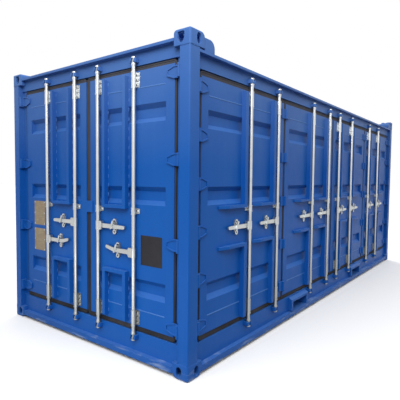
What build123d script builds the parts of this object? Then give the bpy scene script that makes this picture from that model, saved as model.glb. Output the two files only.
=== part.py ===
"""A twenty-foot open-side steel container: two end doors, four folding side doors, hollow inside.

The origin is the middle of the footprint at ground level. X runs along the length, with the end
doors at the low end, Y runs across the width, with the folding doors on the low side, and Z is up.
"""

from build123d import *
import os

os.makedirs("parts", exist_ok=True)

# Overall size
length = 6058.0
width = 2438.0
height = 2591.0

# Corner fittings: cast boxes with an aperture in each outer face and rounded far corners
fitting_length = 178.0
fitting_width = 162.0
fitting_height = 118.0
fitting_wall = 20.0
fitting_plate = 28.0
top_end_round = 27.0
top_side_round = 45.0
bottom_round = 56.0
fitting_edge = 18.0
top_rim = 11.0
bottom_rim = 15.0
slot_length = 124.5
slot_width = 63.5
slot_from_end = 102.5
slot_from_side = 89.5
eye_height = 79.5
eye_width = 51.0
shield_width = 63.5
shield_shoulder = 44.0
shield_point = 24.0
shield_corner = 12.0

# Frame members, set back from the corner fittings
set_back = 3.0
steel_wall = 7.0
member_depth = 110.0
web_depth = 46.0
seat_depth = 60.0
end_flange = 100.0
side_flange = 116.0
post_round = 11.0
header_drop = 51.0
header_height = 128.0
header_lip = 23.0
sill_top = 240.0
side_rail_drop = 78.0
side_rail_height = 124.0
side_rail_lip = 22.0
rail_foot = 28.0
foot_lip = 50.0
upper_beam = 60.0
haunch_inner = 250.0
haunch_sheet = 5.0
corner_block = 122.0
block_sheet = 8.0
block_round = 60.0
block_rise = 16.0

# Sheets and floor
sheet = 4.0
wave_crest = 0.26
wave_slope = 0.24
wall_wave = 36.0
wall_pitch = 278.0
front_wave = 45.0
front_pitch = 250.0
roof_wave = 20.0
roof_pitch = 209.0
wall_gap = 12.0
roof_rear_gap = 80.0
roof_edge_gap = 20.0
floor_top = 223.0
floor_sheet = 28.0
beam_width = 45.0
beam_height = 120.0
beam_wall = 5.0
beam_count = 17

# Forklift pockets
pocket_spacing = 2050.0
pocket_width = 360.0
pocket_height = 102.0
pocket_wall = 8.0
pocket_rim = 40.0
rim_fall = 24.0
rim_slope = 34.0

# Door leaves
leaf_face = 48.0
leaf_depth = 50.0
leaf_lift = 48.0
end_leaf_inset = 185.0
end_leaf_gap = 60.0
end_leaf_drop = 39.0
side_leaf_inset = 199.0
side_leaf_gap = 44.0
side_leaf_drop = 46.0
stile_width = 88.0
leaf_rail = 138.0
dip_depth = 34.0
dip_slope = 36.0
dip_height = 146.0
end_dip_low = 324.0
end_dip_level = 1372.0
end_dip_high = 344.0
side_dip_low = 332.0
side_dip_level = 1378.0
side_dip_high = 317.0

# Stiffening ribs welded on the leaves
rib_depth = 44.0
end_rib_width = 34.0
end_rib_bar = 28.0
end_rib_inner = 257.0
end_rib_outer = 517.0
end_rib_gap = 28.0
end_rib_zone = (733.0, 1258.0)
side_rib_width = 46.0
side_rib_offset = 95.0
side_rib_gap = 20.0
side_rib_zone = (952.0, 1266.0)
foot_height = 26.0
foot_clearance = 20.0
foot_bevel = 110.0
foot_tip = 14.0

# Door seals
seal_front = 54.0
seal_depth = 36.0
seal_clearance = 6.0
seal_round = 34.0
meeting_clearance = 10.0
cover_plate_width = 90.0
cover_plate_height = 104.0
cover_plate_level = 1252.0
cover_plate_sheet = 8.0

# Locking bars with their cams, and the keepers that hold them
bar_radius = 17.0
bar_depth = 23.0
bar_fit = 0.4
end_bars = (166.0, 619.0)
side_bar_inset = 164.0
bar_from_pocket = 97.5
cam_radius = 18.5
cam_across = 23.0
cam_web = 16.0
cam_reach = 14.0
cam_play = 1.5
cap_radius = 21.0
cap_height = 15.0
cap_bevel = 4.0
collar_height = 12.0
collar_taper = 16.0
keeper_width = 72.0
keeper_height = 34.0
keeper_front = 2.0
keeper_round = 9.0
keeper_mouth = 29.0
nose_height = 16.0
nose_root = 6.0
keeper_from_sill = 54.0
keeper_to_header = 22.0
keeper_to_side_rail = 18.0

# Brackets that carry the bars
bracket_width = 96.0
bracket_sheet = 6.0
bracket_round = 10.0
bracket_inset = 14.0
sleeve_radius = 20.5
sleeve_ring = 22.5
ring_height = 11.0
long_bracket = 118.0
short_bracket = 44.0
sleeve_overrun = 8.0
clamp_rise = 8.0

# Handles and their catches
end_handle_levels = (1098.0, 900.0)
side_handle_level = 1102.0
hub_length = 58.0
hub_height = 78.0
hub_depth = 30.0
hub_bevel = 9.0
hub_ring = 21.5
arm_root = 20.0
arm_waist = 17.0
arm_tip = 14.5
arm_waist_reach = 240.0
arm_reach = 332.0
arm_sheet = 14.0
arm_crank = 20.0
hasp_width = 20.0
hasp_sheet = 8.0
hasp_rise = 42.0
hasp_lean = 26.0
hasp_fall = 14.0
catch_reach = 205.0
catch_height = 134.0
catch_width = 42.0
catch_sheet = 8.0
catch_hole = 8.0
catch_lobe = 46.0
lobe_depth = 18.0

# Hinges
pin_depth = 16.0
pin_radius = 7.0
pin_fit = 0.4
pin_from_flange = 17.0
knuckle_radius = 13.0
lug_radius = 14.0
lug_height = 14.0
hinge_height = 100.0
hinge_gap = 1.0
strap_sheet = 12.0
strap_rim = 11.0
strap_dip = 6.0
strap_length = 142.0
strap_height = 96.0
strap_taper = 70.0
strap_tip = 48.0
end_hinge_inset = 67.0
end_hinge_count = 4
side_hinge_inset = 85.0
side_hinge_count = 6
fold_hinge_inset = 107.0
fold_hinge_count = 5
fold_strap = 78.0
fold_depth = 28.0

# Outside faces: local x runs along the face, local y up, and the normal points outwards
end_face = Plane(origin=(-length / 2, 0, 0), x_dir=(0, -1, 0), z_dir=(-1, 0, 0))
front_face = Plane(origin=(length / 2, 0, 0), x_dir=(0, 1, 0), z_dir=(1, 0, 0))
side_face = Plane(origin=(0, -width / 2, 0), x_dir=(1, 0, 0), z_dir=(0, -1, 0))
closed_face = Plane(origin=(0, width / 2, 0), x_dir=(-1, 0, 0), z_dir=(0, 1, 0))

# Levels and clear spans that follow from the sizes above
end_span = width / 2 - fitting_width
side_span = length / 2 - fitting_length
header_top = height - header_drop
header_bottom = header_top - header_height
side_rail_top = header_top - side_rail_drop
side_rail_bottom = side_rail_top - side_rail_height
upper_beam_bottom = header_top - upper_beam
floor_bottom = floor_top - floor_sheet
lip_top = rail_foot + foot_lip
leaf_bottom = sill_top + leaf_lift
end_leaf_top = header_bottom - end_leaf_drop
end_leaf_edge = width / 2 - end_leaf_inset
side_leaf_top = side_rail_bottom - side_leaf_drop
side_leaf_edge = length / 2 - side_leaf_inset
side_fold = side_leaf_edge / 2


def across(face, place):
    """Plane that cuts a face at one place along it: local x runs inwards, local y up."""
    return Plane(origin=face.origin + face.x_dir * place, x_dir=-face.z_dir, z_dir=face.x_dir)


def level(face, up):
    """Level plane at one height: local x runs along the face, local y inwards."""
    return Plane(origin=face.origin + face.y_dir * up, x_dir=face.x_dir, z_dir=face.y_dir)


def save(piece, name):
    """Label a finished piece and write it to its own file."""
    piece.label = name
    export_step(piece, f"parts/{name}.step")


def spread(low, high, count):
    """Evenly spaced values from low to high."""
    return [low + (high - low) * index / (count - 1) for index in range(count)]


def hollow_beam(face, outline, half_span):
    """A closed steel section, given as depth and height, carried along a face."""
    with BuildPart() as beam:
        with BuildSketch(across(face, -half_span)):
            with BuildLine():
                Polyline(*outline, close=True)
            make_face()
            offset(amount=-steel_wall, kind=Kind.INTERSECTION, mode=Mode.SUBTRACT)
        extrude(amount=2 * half_span)
    return beam.part


def lipped_outline(bottom, top, lip):
    """Section of a head beam: a lip reaches forward over a web that is set back."""
    return (
        (set_back, top),
        (set_back, top - lip),
        (web_depth, top - lip),
        (web_depth, bottom),
        (member_depth, bottom),
        (member_depth, top),
    )


def footed_outline(top):
    """Section of a bottom beam: a web that is set back over a foot that reaches forward."""
    return (
        (set_back, rail_foot),
        (set_back, lip_top),
        (web_depth, lip_top),
        (web_depth, top),
        (member_depth, top),
        (member_depth, rail_foot),
    )


def plain_outline(depth, bottom, top):
    """Rectangular section set back from the face."""
    return ((set_back, bottom), (set_back, top), (depth, top), (depth, bottom))


def corner_post(end, side, outline):
    """A hollow post between two corner fittings, its plan given as depths from both faces."""
    with BuildPart() as post:
        with BuildSketch(Plane.XY.offset(fitting_height)):
            with BuildLine():
                Polyline(
                    *[(end * (length / 2 - a), side * (width / 2 - b)) for a, b in outline],
                    close=True,
                )
            make_face()
            fillet(vertices().sort_by_distance((end * length / 2, side * width / 2))[0], post_round)
            offset(amount=-steel_wall, kind=Kind.INTERSECTION, mode=Mode.SUBTRACT)
        extrude(amount=height - 2 * fitting_height)
    return post.part


def wave_outline(start, end, pitch, outer, wave):
    """Trapezoidal sheet from start to end, evened to whole waves, then back one sheet behind."""
    count = round((end - start) / pitch)
    step = (end - start) / count
    front = []
    for index in range(count):
        origin = start + index * step
        front.append((origin, outer))
        front.append((origin + wave_crest * step, outer))
        front.append((origin + (wave_crest + wave_slope) * step, outer + wave))
        front.append((origin + (2 * wave_crest + wave_slope) * step, outer + wave))
    front.append((end, outer))
    back = [(place, depth + sheet) for place, depth in reversed(front)]
    return front + back


def corner_fittings(base, top, end_round, side_round, rim, shielded):
    """Four cast boxes at one level, each with a slot in its outer level face and two eyes."""
    outward = -1 if top else 0
    mouth = base + fitting_height if top else base
    middle_x = -length / 2 + fitting_length / 2
    middle_y = -width / 2 + fitting_width / 2
    middle_z = base + fitting_height / 2
    with BuildPart() as fittings:
        with BuildSketch(end_face):
            with Locations((width / 2 - fitting_width / 2, middle_z)):
                Rectangle(fitting_width, fitting_height)
            fillet(vertices().group_by(Axis.X)[0].sort_by(Axis.Y)[outward], end_round)
        extrude(amount=-fitting_length)
        with BuildSketch(side_face):
            with Locations((middle_x, middle_z)):
                Rectangle(fitting_length, fitting_height)
            fillet(vertices().group_by(Axis.X)[-1].sort_by(Axis.Y)[outward], side_round)
        extrude(amount=-fitting_width, mode=Mode.INTERSECT)
        near_corner = (-length / 2, -width / 2, mouth)
        fillet(edges().filter_by(Axis.Z).sort_by_distance(near_corner)[0], fitting_edge)
        rim_edges = faces().sort_by(Axis.Z)[outward].edges().sort_by_distance(near_corner)[:3]
        fillet(rim_edges, rim)
        with Locations((middle_x, middle_y, middle_z)):
            Box(
                fitting_length - 2 * fitting_wall,
                fitting_width - 2 * fitting_wall,
                fitting_height - 2 * fitting_plate,
                mode=Mode.SUBTRACT,
            )
        with BuildSketch(Plane.XY.offset(mouth)):
            with Locations((-length / 2 + slot_from_end, -width / 2 + slot_from_side)):
                SlotOverall(slot_length, slot_width)
        extrude(amount=fitting_plate, both=True, mode=Mode.SUBTRACT)
        with BuildSketch(end_face):
            with Locations((width / 2 - slot_from_side, middle_z)):
                if shielded:
                    with Locations((0, eye_height / 2)):
                        Rectangle(shield_width, shield_shoulder, align=(Align.CENTER, Align.MAX))
                    with Locations((0, shield_point - eye_height / 2)):
                        Circle(shield_point)
                    make_hull()
                    fillet(vertices().group_by(Axis.Y)[-1], shield_corner)
                else:
                    SlotOverall(eye_height, eye_width, rotation=90)
        extrude(amount=-fitting_wall, mode=Mode.SUBTRACT)
        with BuildSketch(side_face):
            with Locations((-length / 2 + slot_from_end, middle_z)):
                SlotOverall(eye_height, eye_width, rotation=90)
        extrude(amount=-fitting_wall, mode=Mode.SUBTRACT)
        mirror(about=Plane.XZ)
        mirror(about=Plane.YZ)
    return fittings.part


# Corner fittings
top_base = height - fitting_height
save(
    corner_fittings(top_base, True, top_end_round, top_side_round, top_rim, True),
    "top_corner_fittings",
)
save(
    corner_fittings(0, False, bottom_round, bottom_round, bottom_rim, False),
    "bottom_corner_fittings",
)

# Corner posts: a door face has a narrow flange with a recess beside it for the hinges
end_door_plan = (
    (member_depth, fitting_width),
    (seat_depth, fitting_width),
    (seat_depth, end_flange),
    (set_back, end_flange),
)
side_door_plan = (
    (side_flange, set_back),
    (side_flange, seat_depth),
    (fitting_length, seat_depth),
    (fitting_length, member_depth),
)
end_plain_plan = ((member_depth, fitting_width), (set_back, fitting_width))
side_plain_plan = ((fitting_length, set_back), (fitting_length, member_depth))
outer_corner = ((set_back, set_back),)
inner_corner = ((member_depth, member_depth),)
post_plans = {
    "rear_left_post": (-1, 1, side_plain_plan, end_door_plan),
    "rear_right_post": (-1, -1, side_door_plan, end_door_plan),
    "front_left_post": (1, 1, side_plain_plan, end_plain_plan),
    "front_right_post": (1, -1, side_door_plan, end_plain_plan),
}
for name, (end, side, side_plan, end_plan) in post_plans.items():
    save(corner_post(end, side, outer_corner + side_plan + inner_corner + end_plan), name)



def web_ends(face, start, reach, bottom, top):
    """Both ends of a door beam's web, which close the hinge recesses up to the post flanges."""
    with BuildPart() as ends:
        with BuildSketch(face.offset(-seat_depth)):
            with Locations((0, bottom)):
                with GridLocations(start + reach, 0, 2, 1):
                    Rectangle(reach - start, top - bottom, align=(Align.CENTER, Align.MIN))
        extrude(amount=seat_depth - web_depth)
    return ends.part


# Rails between the posts
end_reach = width / 2 - end_flange
side_reach = length / 2 - side_flange
with BuildPart() as rear_header:
    add(hollow_beam(end_face, lipped_outline(header_bottom, header_top, header_lip), end_span))
    add(web_ends(end_face, end_span, end_reach, header_bottom, top_base))
save(rear_header.part, "rear_header")
with BuildPart() as rear_sill:
    add(hollow_beam(end_face, footed_outline(sill_top), end_span))
    add(web_ends(end_face, end_span, end_reach, fitting_height, sill_top))
save(rear_sill.part, "rear_sill")
save(
    hollow_beam(front_face, plain_outline(member_depth, upper_beam_bottom, header_top), end_span),
    "front_top_rail",
)
save(
    hollow_beam(front_face, plain_outline(member_depth, rail_foot, floor_top), end_span),
    "front_bottom_rail",
)
with BuildPart() as door_side_top_rail:
    add(hollow_beam(side_face, lipped_outline(side_rail_bottom, side_rail_top, side_rail_lip), side_span))
    add(web_ends(side_face, side_span, side_reach, side_rail_bottom, side_rail_top))
    with BuildSketch(side_face.offset(-web_depth)):
        with Locations((0, side_rail_top)):
            with GridLocations(side_span + side_reach, 0, 2, 1):
                Rectangle(side_reach - side_span, side_rail_lip, align=(Align.CENTER, Align.MAX))
    extrude(amount=web_depth - set_back)
save(door_side_top_rail.part, "door_side_top_rail")
save(
    hollow_beam(closed_face, plain_outline(upper_beam, upper_beam_bottom, header_top), side_span),
    "closed_side_top_rail",
)

# Bottom side rails, cut through for the forklift pockets
for face, name in ((side_face, "door_side_bottom_rail"), (closed_face, "closed_side_bottom_rail")):
    with BuildPart() as bottom_rail:
        add(hollow_beam(face, footed_outline(sill_top), side_span))
        if face == side_face:
            add(web_ends(face, side_span, side_reach, fitting_height, sill_top))
        with BuildSketch(face):
            with Locations((0, lip_top + pocket_height / 2)):
                with GridLocations(pocket_spacing, 0, 2, 1):
                    Rectangle(pocket_width + 2 * pocket_wall, pocket_height + 2 * pocket_wall)
        extrude(amount=-2 * member_depth, mode=Mode.SUBTRACT)
    save(bottom_rail.part, name)

# Forklift pockets: two tubes across the width, each mouth in a raised rim with a sloping top
with BuildPart() as fork_pockets:
    with BuildSketch(side_face.offset(-set_back)):
        with Locations((0, lip_top + pocket_height / 2)):
            with GridLocations(pocket_spacing, 0, 2, 1):
                Rectangle(pocket_width + 2 * pocket_wall, pocket_height + 2 * pocket_wall)
    extrude(amount=-(width - 2 * set_back))
    for face in (side_face, closed_face):
        with BuildSketch(face.offset(-web_depth)):
            with Locations((0, lip_top + pocket_wall)):
                with GridLocations(pocket_spacing, 0, 2, 1):
                    Rectangle(
                        pocket_width + 2 * pocket_rim,
                        pocket_height + pocket_rim,
                        align=(Align.CENTER, Align.MIN),
                    )
        extrude(amount=web_depth - set_back)
    for outermost in (0, -1):
        rim_edges = edges().filter_by(Axis.X).group_by(Axis.Y)[outermost].group_by(Axis.Z)[-1]
        rim_front = faces().filter_by(Axis.Y).group_by(Axis.Y)[outermost]
        for edge in rim_edges:
            front = rim_front.sort_by_distance(edge.center())[0]
            chamfer(edge, length=rim_fall, length2=rim_slope, reference=front)
    with BuildSketch(side_face):
        with Locations((0, lip_top + pocket_height / 2)):
            with GridLocations(pocket_spacing, 0, 2, 1):
                Rectangle(pocket_width, pocket_height)
    extrude(amount=-width, mode=Mode.SUBTRACT)
save(fork_pockets.part, "fork_pockets")

# Corrugated sheets: the closed side, the front end and the roof
with BuildPart() as closed_side_wall:
    with BuildSketch(level(closed_face, sill_top)):
        with BuildLine():
            Polyline(*wave_outline(-side_span, side_span, wall_pitch, wall_gap, wall_wave), close=True)
        make_face()
    extrude(amount=upper_beam_bottom - sill_top)
save(closed_side_wall.part, "closed_side_wall")

with BuildPart() as front_wall:
    with BuildSketch(level(front_face, floor_top)):
        with BuildLine():
            Polyline(*wave_outline(-end_span, end_span, front_pitch, wall_gap, front_wave), close=True)
        make_face()
    extrude(amount=upper_beam_bottom - floor_top)
save(front_wall.part, "front_wall")

roof_start = -length / 2 + roof_rear_gap
roof_stop = length / 2 - roof_edge_gap
with BuildPart() as roof_panel:
    with BuildSketch(Plane.XZ.offset(width / 2 - haunch_inner)):
        with BuildLine():
            Polyline(*wave_outline(roof_start, roof_stop, roof_pitch, header_top, roof_wave), close=True)
        make_face()
    extrude(amount=-(width - haunch_inner - roof_edge_gap))
    with GridLocations(length - fitting_length, 0, 2, 1):
        with Locations((0, width / 2 - fitting_width / 2, height)):
            Box(fitting_length, fitting_width, 2 * fitting_height, mode=Mode.SUBTRACT)
save(roof_panel.part, "roof_panel")

# Sloping strip from the low door-side rail up to the roof sheet
haunch_line = (
    (upper_beam, side_rail_top),
    (member_depth, side_rail_top),
    (haunch_inner, header_top - haunch_sheet),
    (haunch_inner + upper_beam, header_top - haunch_sheet),
)
haunch_outline = haunch_line + tuple((b, z + haunch_sheet) for b, z in reversed(haunch_line))
block_span = side_span - corner_block
with BuildPart() as roof_haunch:
    with BuildSketch(across(side_face, -block_span)):
        with BuildLine():
            Polyline(*haunch_outline, close=True)
        make_face()
    extrude(amount=2 * block_span)
save(roof_haunch.part, "roof_haunch")

# Raised blocks, open below, that close the corners between the fittings, the low rail and the roof
with BuildPart() as roof_corner_blocks:
    with BuildSketch(Plane.XY.offset(side_rail_top)):
        with BuildLine():
            Polyline(
                (-side_span, -width / 2 + set_back),
                (-block_span, -width / 2 + set_back),
                (-block_span, -width / 2 + haunch_inner),
                (-length / 2 + member_depth, -width / 2 + haunch_inner),
                (-length / 2 + member_depth, -end_span),
                (-side_span, -end_span),
                close=True,
            )
        make_face()
    extrude(amount=header_top + block_rise - side_rail_top)
    far_edge = edges().filter_by(Axis.Y).group_by(Axis.Z)[-1].sort_by(Axis.X)[-1]
    fillet(far_edge, block_round)
    offset(amount=-block_sheet, openings=faces().sort_by(Axis.Z)[0])
    mirror(about=Plane.YZ)
save(roof_corner_blocks.part, "roof_corner_blocks")

# Floor on its cross members, which miss the forklift pockets
floor_span = length / 2 - member_depth
deck_span = width / 2 - member_depth
with BuildPart() as floor_boards:
    with Locations((0, 0, floor_bottom + floor_sheet / 2)):
        Box(2 * floor_span, 2 * deck_span, floor_sheet)
save(floor_boards.part, "floor_boards")

beam_pitch = 2 * floor_span / (beam_count + 1)
beam_reach = beam_pitch * (beam_count - 1) / 2
pocket_reach = pocket_width / 2 + pocket_wall + beam_width / 2
clear_places = [
    place
    for place in spread(-beam_reach, beam_reach, beam_count)
    if abs(abs(place) - pocket_spacing / 2) > pocket_reach
]
with BuildPart() as cross_members:
    with BuildSketch(Plane.XZ.offset(deck_span)):
        with Locations(*[(place, floor_bottom - beam_height / 2) for place in clear_places]):
            Rectangle(beam_width, beam_height)
        with Locations(*[(place + beam_wall, floor_bottom - beam_height / 2) for place in clear_places]):
            Rectangle(beam_width, beam_height - 2 * beam_wall, mode=Mode.SUBTRACT)
    extrude(amount=-2 * deck_span)
save(cross_members.part, "cross_members")


def panel_outline(bottom, top, dips):
    """Pressed panel in section: flat at the leaf's face, with trapezoidal dips set inwards."""
    front = [(leaf_face, bottom)]
    for middle in dips:
        low = middle - dip_height / 2
        high = middle + dip_height / 2
        front.append((leaf_face, low))
        front.append((leaf_face + dip_depth, low + dip_slope))
        front.append((leaf_face + dip_depth, high - dip_slope))
        front.append((leaf_face, high))
    front.append((leaf_face, top))
    back = [(depth + sheet, up) for depth, up in reversed(front)]
    return front + back


def door_leaf(face, left, right, top, dips, ribs):
    """A leaf: hollow-backed frame, pressed panel between its stiles, ribs on its face."""
    clear_width = right - left - 2 * stile_width
    clear_height = top - leaf_bottom - 2 * leaf_rail
    with BuildPart() as leaf:
        with BuildSketch(face.offset(-leaf_face - leaf_depth)):
            with Locations(((left + right) / 2, (leaf_bottom + top) / 2)):
                Rectangle(right - left, top - leaf_bottom)
                Rectangle(clear_width, clear_height, mode=Mode.SUBTRACT)
        extrude(amount=leaf_depth)
        with BuildSketch(across(face, left + stile_width)):
            with BuildLine():
                Polyline(*panel_outline(leaf_bottom + leaf_rail, top - leaf_rail, dips), close=True)
            make_face()
        extrude(amount=clear_width)
        with BuildSketch(face.offset(-leaf_face)):
            for rib in ribs:
                with BuildLine():
                    Polyline(*rib, close=True)
                make_face()
        extrude(amount=rib_depth)
    return leaf.part


def frame_rib(side, open_end, closed_end):
    """Three-sided rib frame on an end leaf, closed by a cross bar at one height."""
    inner = side * (end_rib_inner - end_rib_width / 2)
    outer = side * (end_rib_outer + end_rib_width / 2)
    turn = 1 if open_end > closed_end else -1
    step = side * end_rib_width
    return (
        (inner, open_end),
        (inner, closed_end),
        (outer, closed_end),
        (outer, open_end),
        (outer - step, open_end),
        (outer - step, closed_end + turn * end_rib_bar),
        (inner + step, closed_end + turn * end_rib_bar),
        (inner + step, open_end),
    )


def foot_rib(place, side, foot_reach, free_end, foot_end):
    """Upright rib beside a locking bar, turned at its foot into a level arm."""
    inner = place + side * (side_rib_offset - side_rib_width / 2)
    outer = place + side * (side_rib_offset + side_rib_width / 2)
    reach = place + side * foot_reach
    turn = 1 if free_end > foot_end else -1
    return (
        (inner, free_end),
        (inner, foot_end),
        (reach, foot_end),
        (reach, foot_end + turn * foot_height),
        (outer, foot_end + turn * foot_height),
        (outer, free_end),
    )


def foot_bevels(face, places, side, foot_reach):
    """Wedges that slope the outer end of each arm back towards the leaf."""
    front = leaf_face - rib_depth
    with BuildPart() as wedges:
        for place in places:
            reach = place + side * foot_reach
            with BuildSketch(level(face, leaf_bottom)):
                with BuildLine():
                    Polyline(
                        (reach - side * foot_bevel, front),
                        (reach, front),
                        (reach, leaf_face - foot_tip),
                        close=True,
                    )
                make_face()
            extrude(amount=side_leaf_top - leaf_bottom)
    return wedges.part


# End leaves: seen from outside, the left one is at low local x
end_dips = (leaf_bottom + end_dip_low, end_dip_level, end_leaf_top - end_dip_high)
end_sides = {"left": -1, "right": 1}
for name, side in end_sides.items():
    edges_along = sorted((side * end_leaf_gap / 2, side * end_leaf_edge))
    ribs = (
        frame_rib(side, end_leaf_top - end_rib_gap, end_rib_zone[1]),
        frame_rib(side, leaf_bottom + end_rib_gap, end_rib_zone[0]),
    )
    save(door_leaf(end_face, *edges_along, end_leaf_top, end_dips, ribs), f"{name}_end_leaf")

# Folding side leaves, numbered from the end doors: each carries a bar near its inner edge, and a
# second one at its middle or, on the inner leaves, clear of the forklift pockets
side_dips = (leaf_bottom + side_dip_low, side_dip_level, side_leaf_top - side_dip_high)
inner_leaf = (side_leaf_gap / 2, side_fold - side_leaf_gap / 2)
outer_leaf = (side_fold + side_leaf_gap / 2, side_leaf_edge)
pocket_near = pocket_spacing / 2 - pocket_width / 2 - pocket_rim
inner_bars = (inner_leaf[0] + side_bar_inset, pocket_near - bar_from_pocket)
outer_bars = (outer_leaf[0] + side_bar_inset, sum(outer_leaf) / 2)
half_side = ((inner_leaf, inner_bars), (outer_leaf, outer_bars))
side_leaves = [(-1, *leaf) for leaf in reversed(half_side)] + [(1, *leaf) for leaf in half_side]
side_bars = [(side, side * place) for side, _, bars in side_leaves for place in bars]
for index, (side, leaf_edges, bars) in enumerate(side_leaves):
    places = [side * place for place in bars]
    foot_reach = bars[1] - bars[0] - bracket_width / 2 - foot_clearance
    ribs = []
    for place in places:
        ribs.append(foot_rib(place, side, foot_reach, side_leaf_top - side_rib_gap, side_rib_zone[1]))
        ribs.append(foot_rib(place, side, foot_reach, leaf_bottom, side_rib_zone[0]))
    left, right = sorted(side * edge for edge in leaf_edges)
    with BuildPart() as side_leaf:
        add(door_leaf(side_face, left, right, side_leaf_top, side_dips, ribs))
        add(foot_bevels(side_face, places, side, foot_reach), mode=Mode.SUBTRACT)
    save(side_leaf.part, f"side_leaf_{index + 1}")


def seal_ring(face, left, right, top, outer_left, outer_right, outer_top):
    """Rubber seal round the edge of a leaf, with rounded outer corners."""
    outer_bottom = sill_top + seal_clearance
    with BuildPart() as seal:
        with BuildSketch(face.offset(-seal_front - seal_depth)):
            with Locations(((outer_left + outer_right) / 2, (outer_bottom + outer_top) / 2)):
                RectangleRounded(outer_right - outer_left, outer_top - outer_bottom, seal_round)
            with Locations(((left + right) / 2, (leaf_bottom + top) / 2)):
                Rectangle(right - left, top - leaf_bottom, mode=Mode.SUBTRACT)
        extrude(amount=seal_depth)
    return seal.part


# Seals: the right end leaf carries the one at the meeting edge
for name, side in end_sides.items():
    meeting = side * end_leaf_gap / 2
    if side > 0:
        meeting -= end_leaf_gap - meeting_clearance
    leaf_edges = sorted((side * end_leaf_gap / 2, side * end_leaf_edge))
    seal_edges = sorted((meeting, side * (end_span - seal_clearance)))
    save(
        seal_ring(end_face, *leaf_edges, end_leaf_top, *seal_edges, header_bottom - seal_clearance),
        f"{name}_end_seal",
    )

with BuildPart() as side_seals:
    for side, (near, far), _ in side_leaves:
        outer_near = near - side_leaf_gap / 2 + seal_clearance / 2
        outer_far = far + side_leaf_gap / 2 - seal_clearance / 2
        if far == side_leaf_edge:
            outer_far = side_span - seal_clearance
        leaf_edges = sorted((side * near, side * far))
        seal_edges = sorted((side * outer_near, side * outer_far))
        add(
            seal_ring(
                side_face, *leaf_edges, side_leaf_top, *seal_edges, side_rail_bottom - seal_clearance
            )
        )
save(side_seals.part, "side_seals")

# Cover plate over the meeting seal of the end doors, welded to the right leaf
with BuildPart() as seal_cover_plate:
    with BuildSketch(end_face.offset(-leaf_face)):
        with Locations((-end_leaf_gap / 2 + meeting_clearance / 2, cover_plate_level)):
            Rectangle(cover_plate_width, cover_plate_height, align=(Align.MIN, Align.CENTER))
    extrude(amount=cover_plate_sheet)
save(seal_cover_plate.part, "seal_cover_plate")

# Lower faces of the bottom and the top keeper of the locking bars
end_keepers = (sill_top - keeper_from_sill, header_bottom + keeper_to_header)
side_keepers = (sill_top - keeper_from_sill, side_rail_bottom + keeper_to_side_rail)
end_bar_places = [side * place for side in (-1, 1) for place in end_bars]
side_bar_places = [place for _, place in side_bars]


def cam_keeper(face, place, low):
    """Two cheeks welded to a beam; the nose of each one hooks into a notch of the cam."""
    high = low + keeper_height
    jaw = cam_radius + cam_play
    with BuildPart() as keeper:
        with BuildSketch(face.offset(-web_depth)):
            for turn, near, far in ((-1, high, low), (1, low, high)):
                rise = (near - far) / keeper_height
                with BuildLine():
                    Polyline(
                        (place + turn * keeper_width / 2, far),
                        (place + turn * keeper_width / 2, near),
                        (place + turn * keeper_mouth / 2, near),
                        (place + turn * keeper_mouth / 2, near - rise * nose_height),
                        (place + turn * jaw, far + rise * nose_root),
                        (place + turn * jaw, far),
                        close=True,
                    )
                make_face()
        extrude(amount=web_depth - keeper_front)
        with BuildSketch(level(face, low)):
            with Locations((place, web_depth)):
                Rectangle(keeper_width, web_depth - keeper_front, align=(Align.CENTER, Align.MAX))
            fillet(vertices().group_by(Axis.Y)[0], keeper_round)
        extrude(amount=keeper_height, mode=Mode.INTERSECT)
    return keeper.part


with BuildPart() as cam_keepers:
    for face, places, levels in (
        (end_face, end_bar_places, end_keepers),
        (side_face, side_bar_places, side_keepers),
    ):
        for place in places:
            for low in levels:
                add(cam_keeper(face, place, low))
save(cam_keepers.part, "cam_keepers")


def lock_bar(face, place, levels):
    """A locking bar turned in one piece: tube, flared collars, end caps and cams.

    Each cam has two flats and two slanting notches, which leave a web like the stroke of a Z.
    """
    cams = [(low - cam_play, low + keeper_height + cam_play) for low in levels]
    (low_start, low_end), (high_start, high_end) = cams
    outline = [
        (0, low_start - cap_height),
        (cap_radius - cap_bevel, low_start - cap_height),
        (cap_radius, low_start - cap_height + cap_bevel),
        (cap_radius, low_start),
        (cam_radius, low_start),
        (cam_radius, low_end),
        (cap_radius, low_end),
        (cap_radius, low_end + collar_height),
        (bar_radius, low_end + collar_height + collar_taper),
        (bar_radius, high_start - collar_height - collar_taper),
        (cap_radius, high_start - collar_height),
        (cap_radius, high_start),
        (cam_radius, high_start),
        (cam_radius, high_end),
        (cap_radius, high_end),
        (cap_radius, high_end + cap_height - cap_bevel),
        (cap_radius - cap_bevel, high_end + cap_height),
        (0, high_end + cap_height),
    ]
    bar_axis = Axis(face.origin + face.x_dir * place - face.z_dir * bar_depth, face.y_dir)
    with BuildPart() as bar:
        with BuildSketch(across(face, place)):
            with BuildLine():
                Polyline(*[(bar_depth + radius, up) for radius, up in outline], close=True)
            make_face()
        revolve(axis=bar_axis)
        for start, end in cams:
            with BuildSketch(level(face, start)):
                with Locations((place, bar_depth)):
                    Circle(cap_radius)
                    Rectangle(2 * cap_radius, cam_across, mode=Mode.SUBTRACT)
            extrude(amount=end - start, mode=Mode.SUBTRACT)
            with BuildSketch(face.offset(-bar_depth - cap_radius)):
                for turn, near, far in ((-1, end, start), (1, start, end)):
                    with BuildLine():
                        Polyline(
                            (place + turn * cap_radius, near),
                            (place - turn * (cam_reach - cam_web), near),
                            (place + turn * cam_reach, far),
                            (place + turn * cap_radius, far),
                            close=True,
                        )
                    make_face()
            extrude(amount=2 * cap_radius, mode=Mode.SUBTRACT)
    return bar.part


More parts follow.
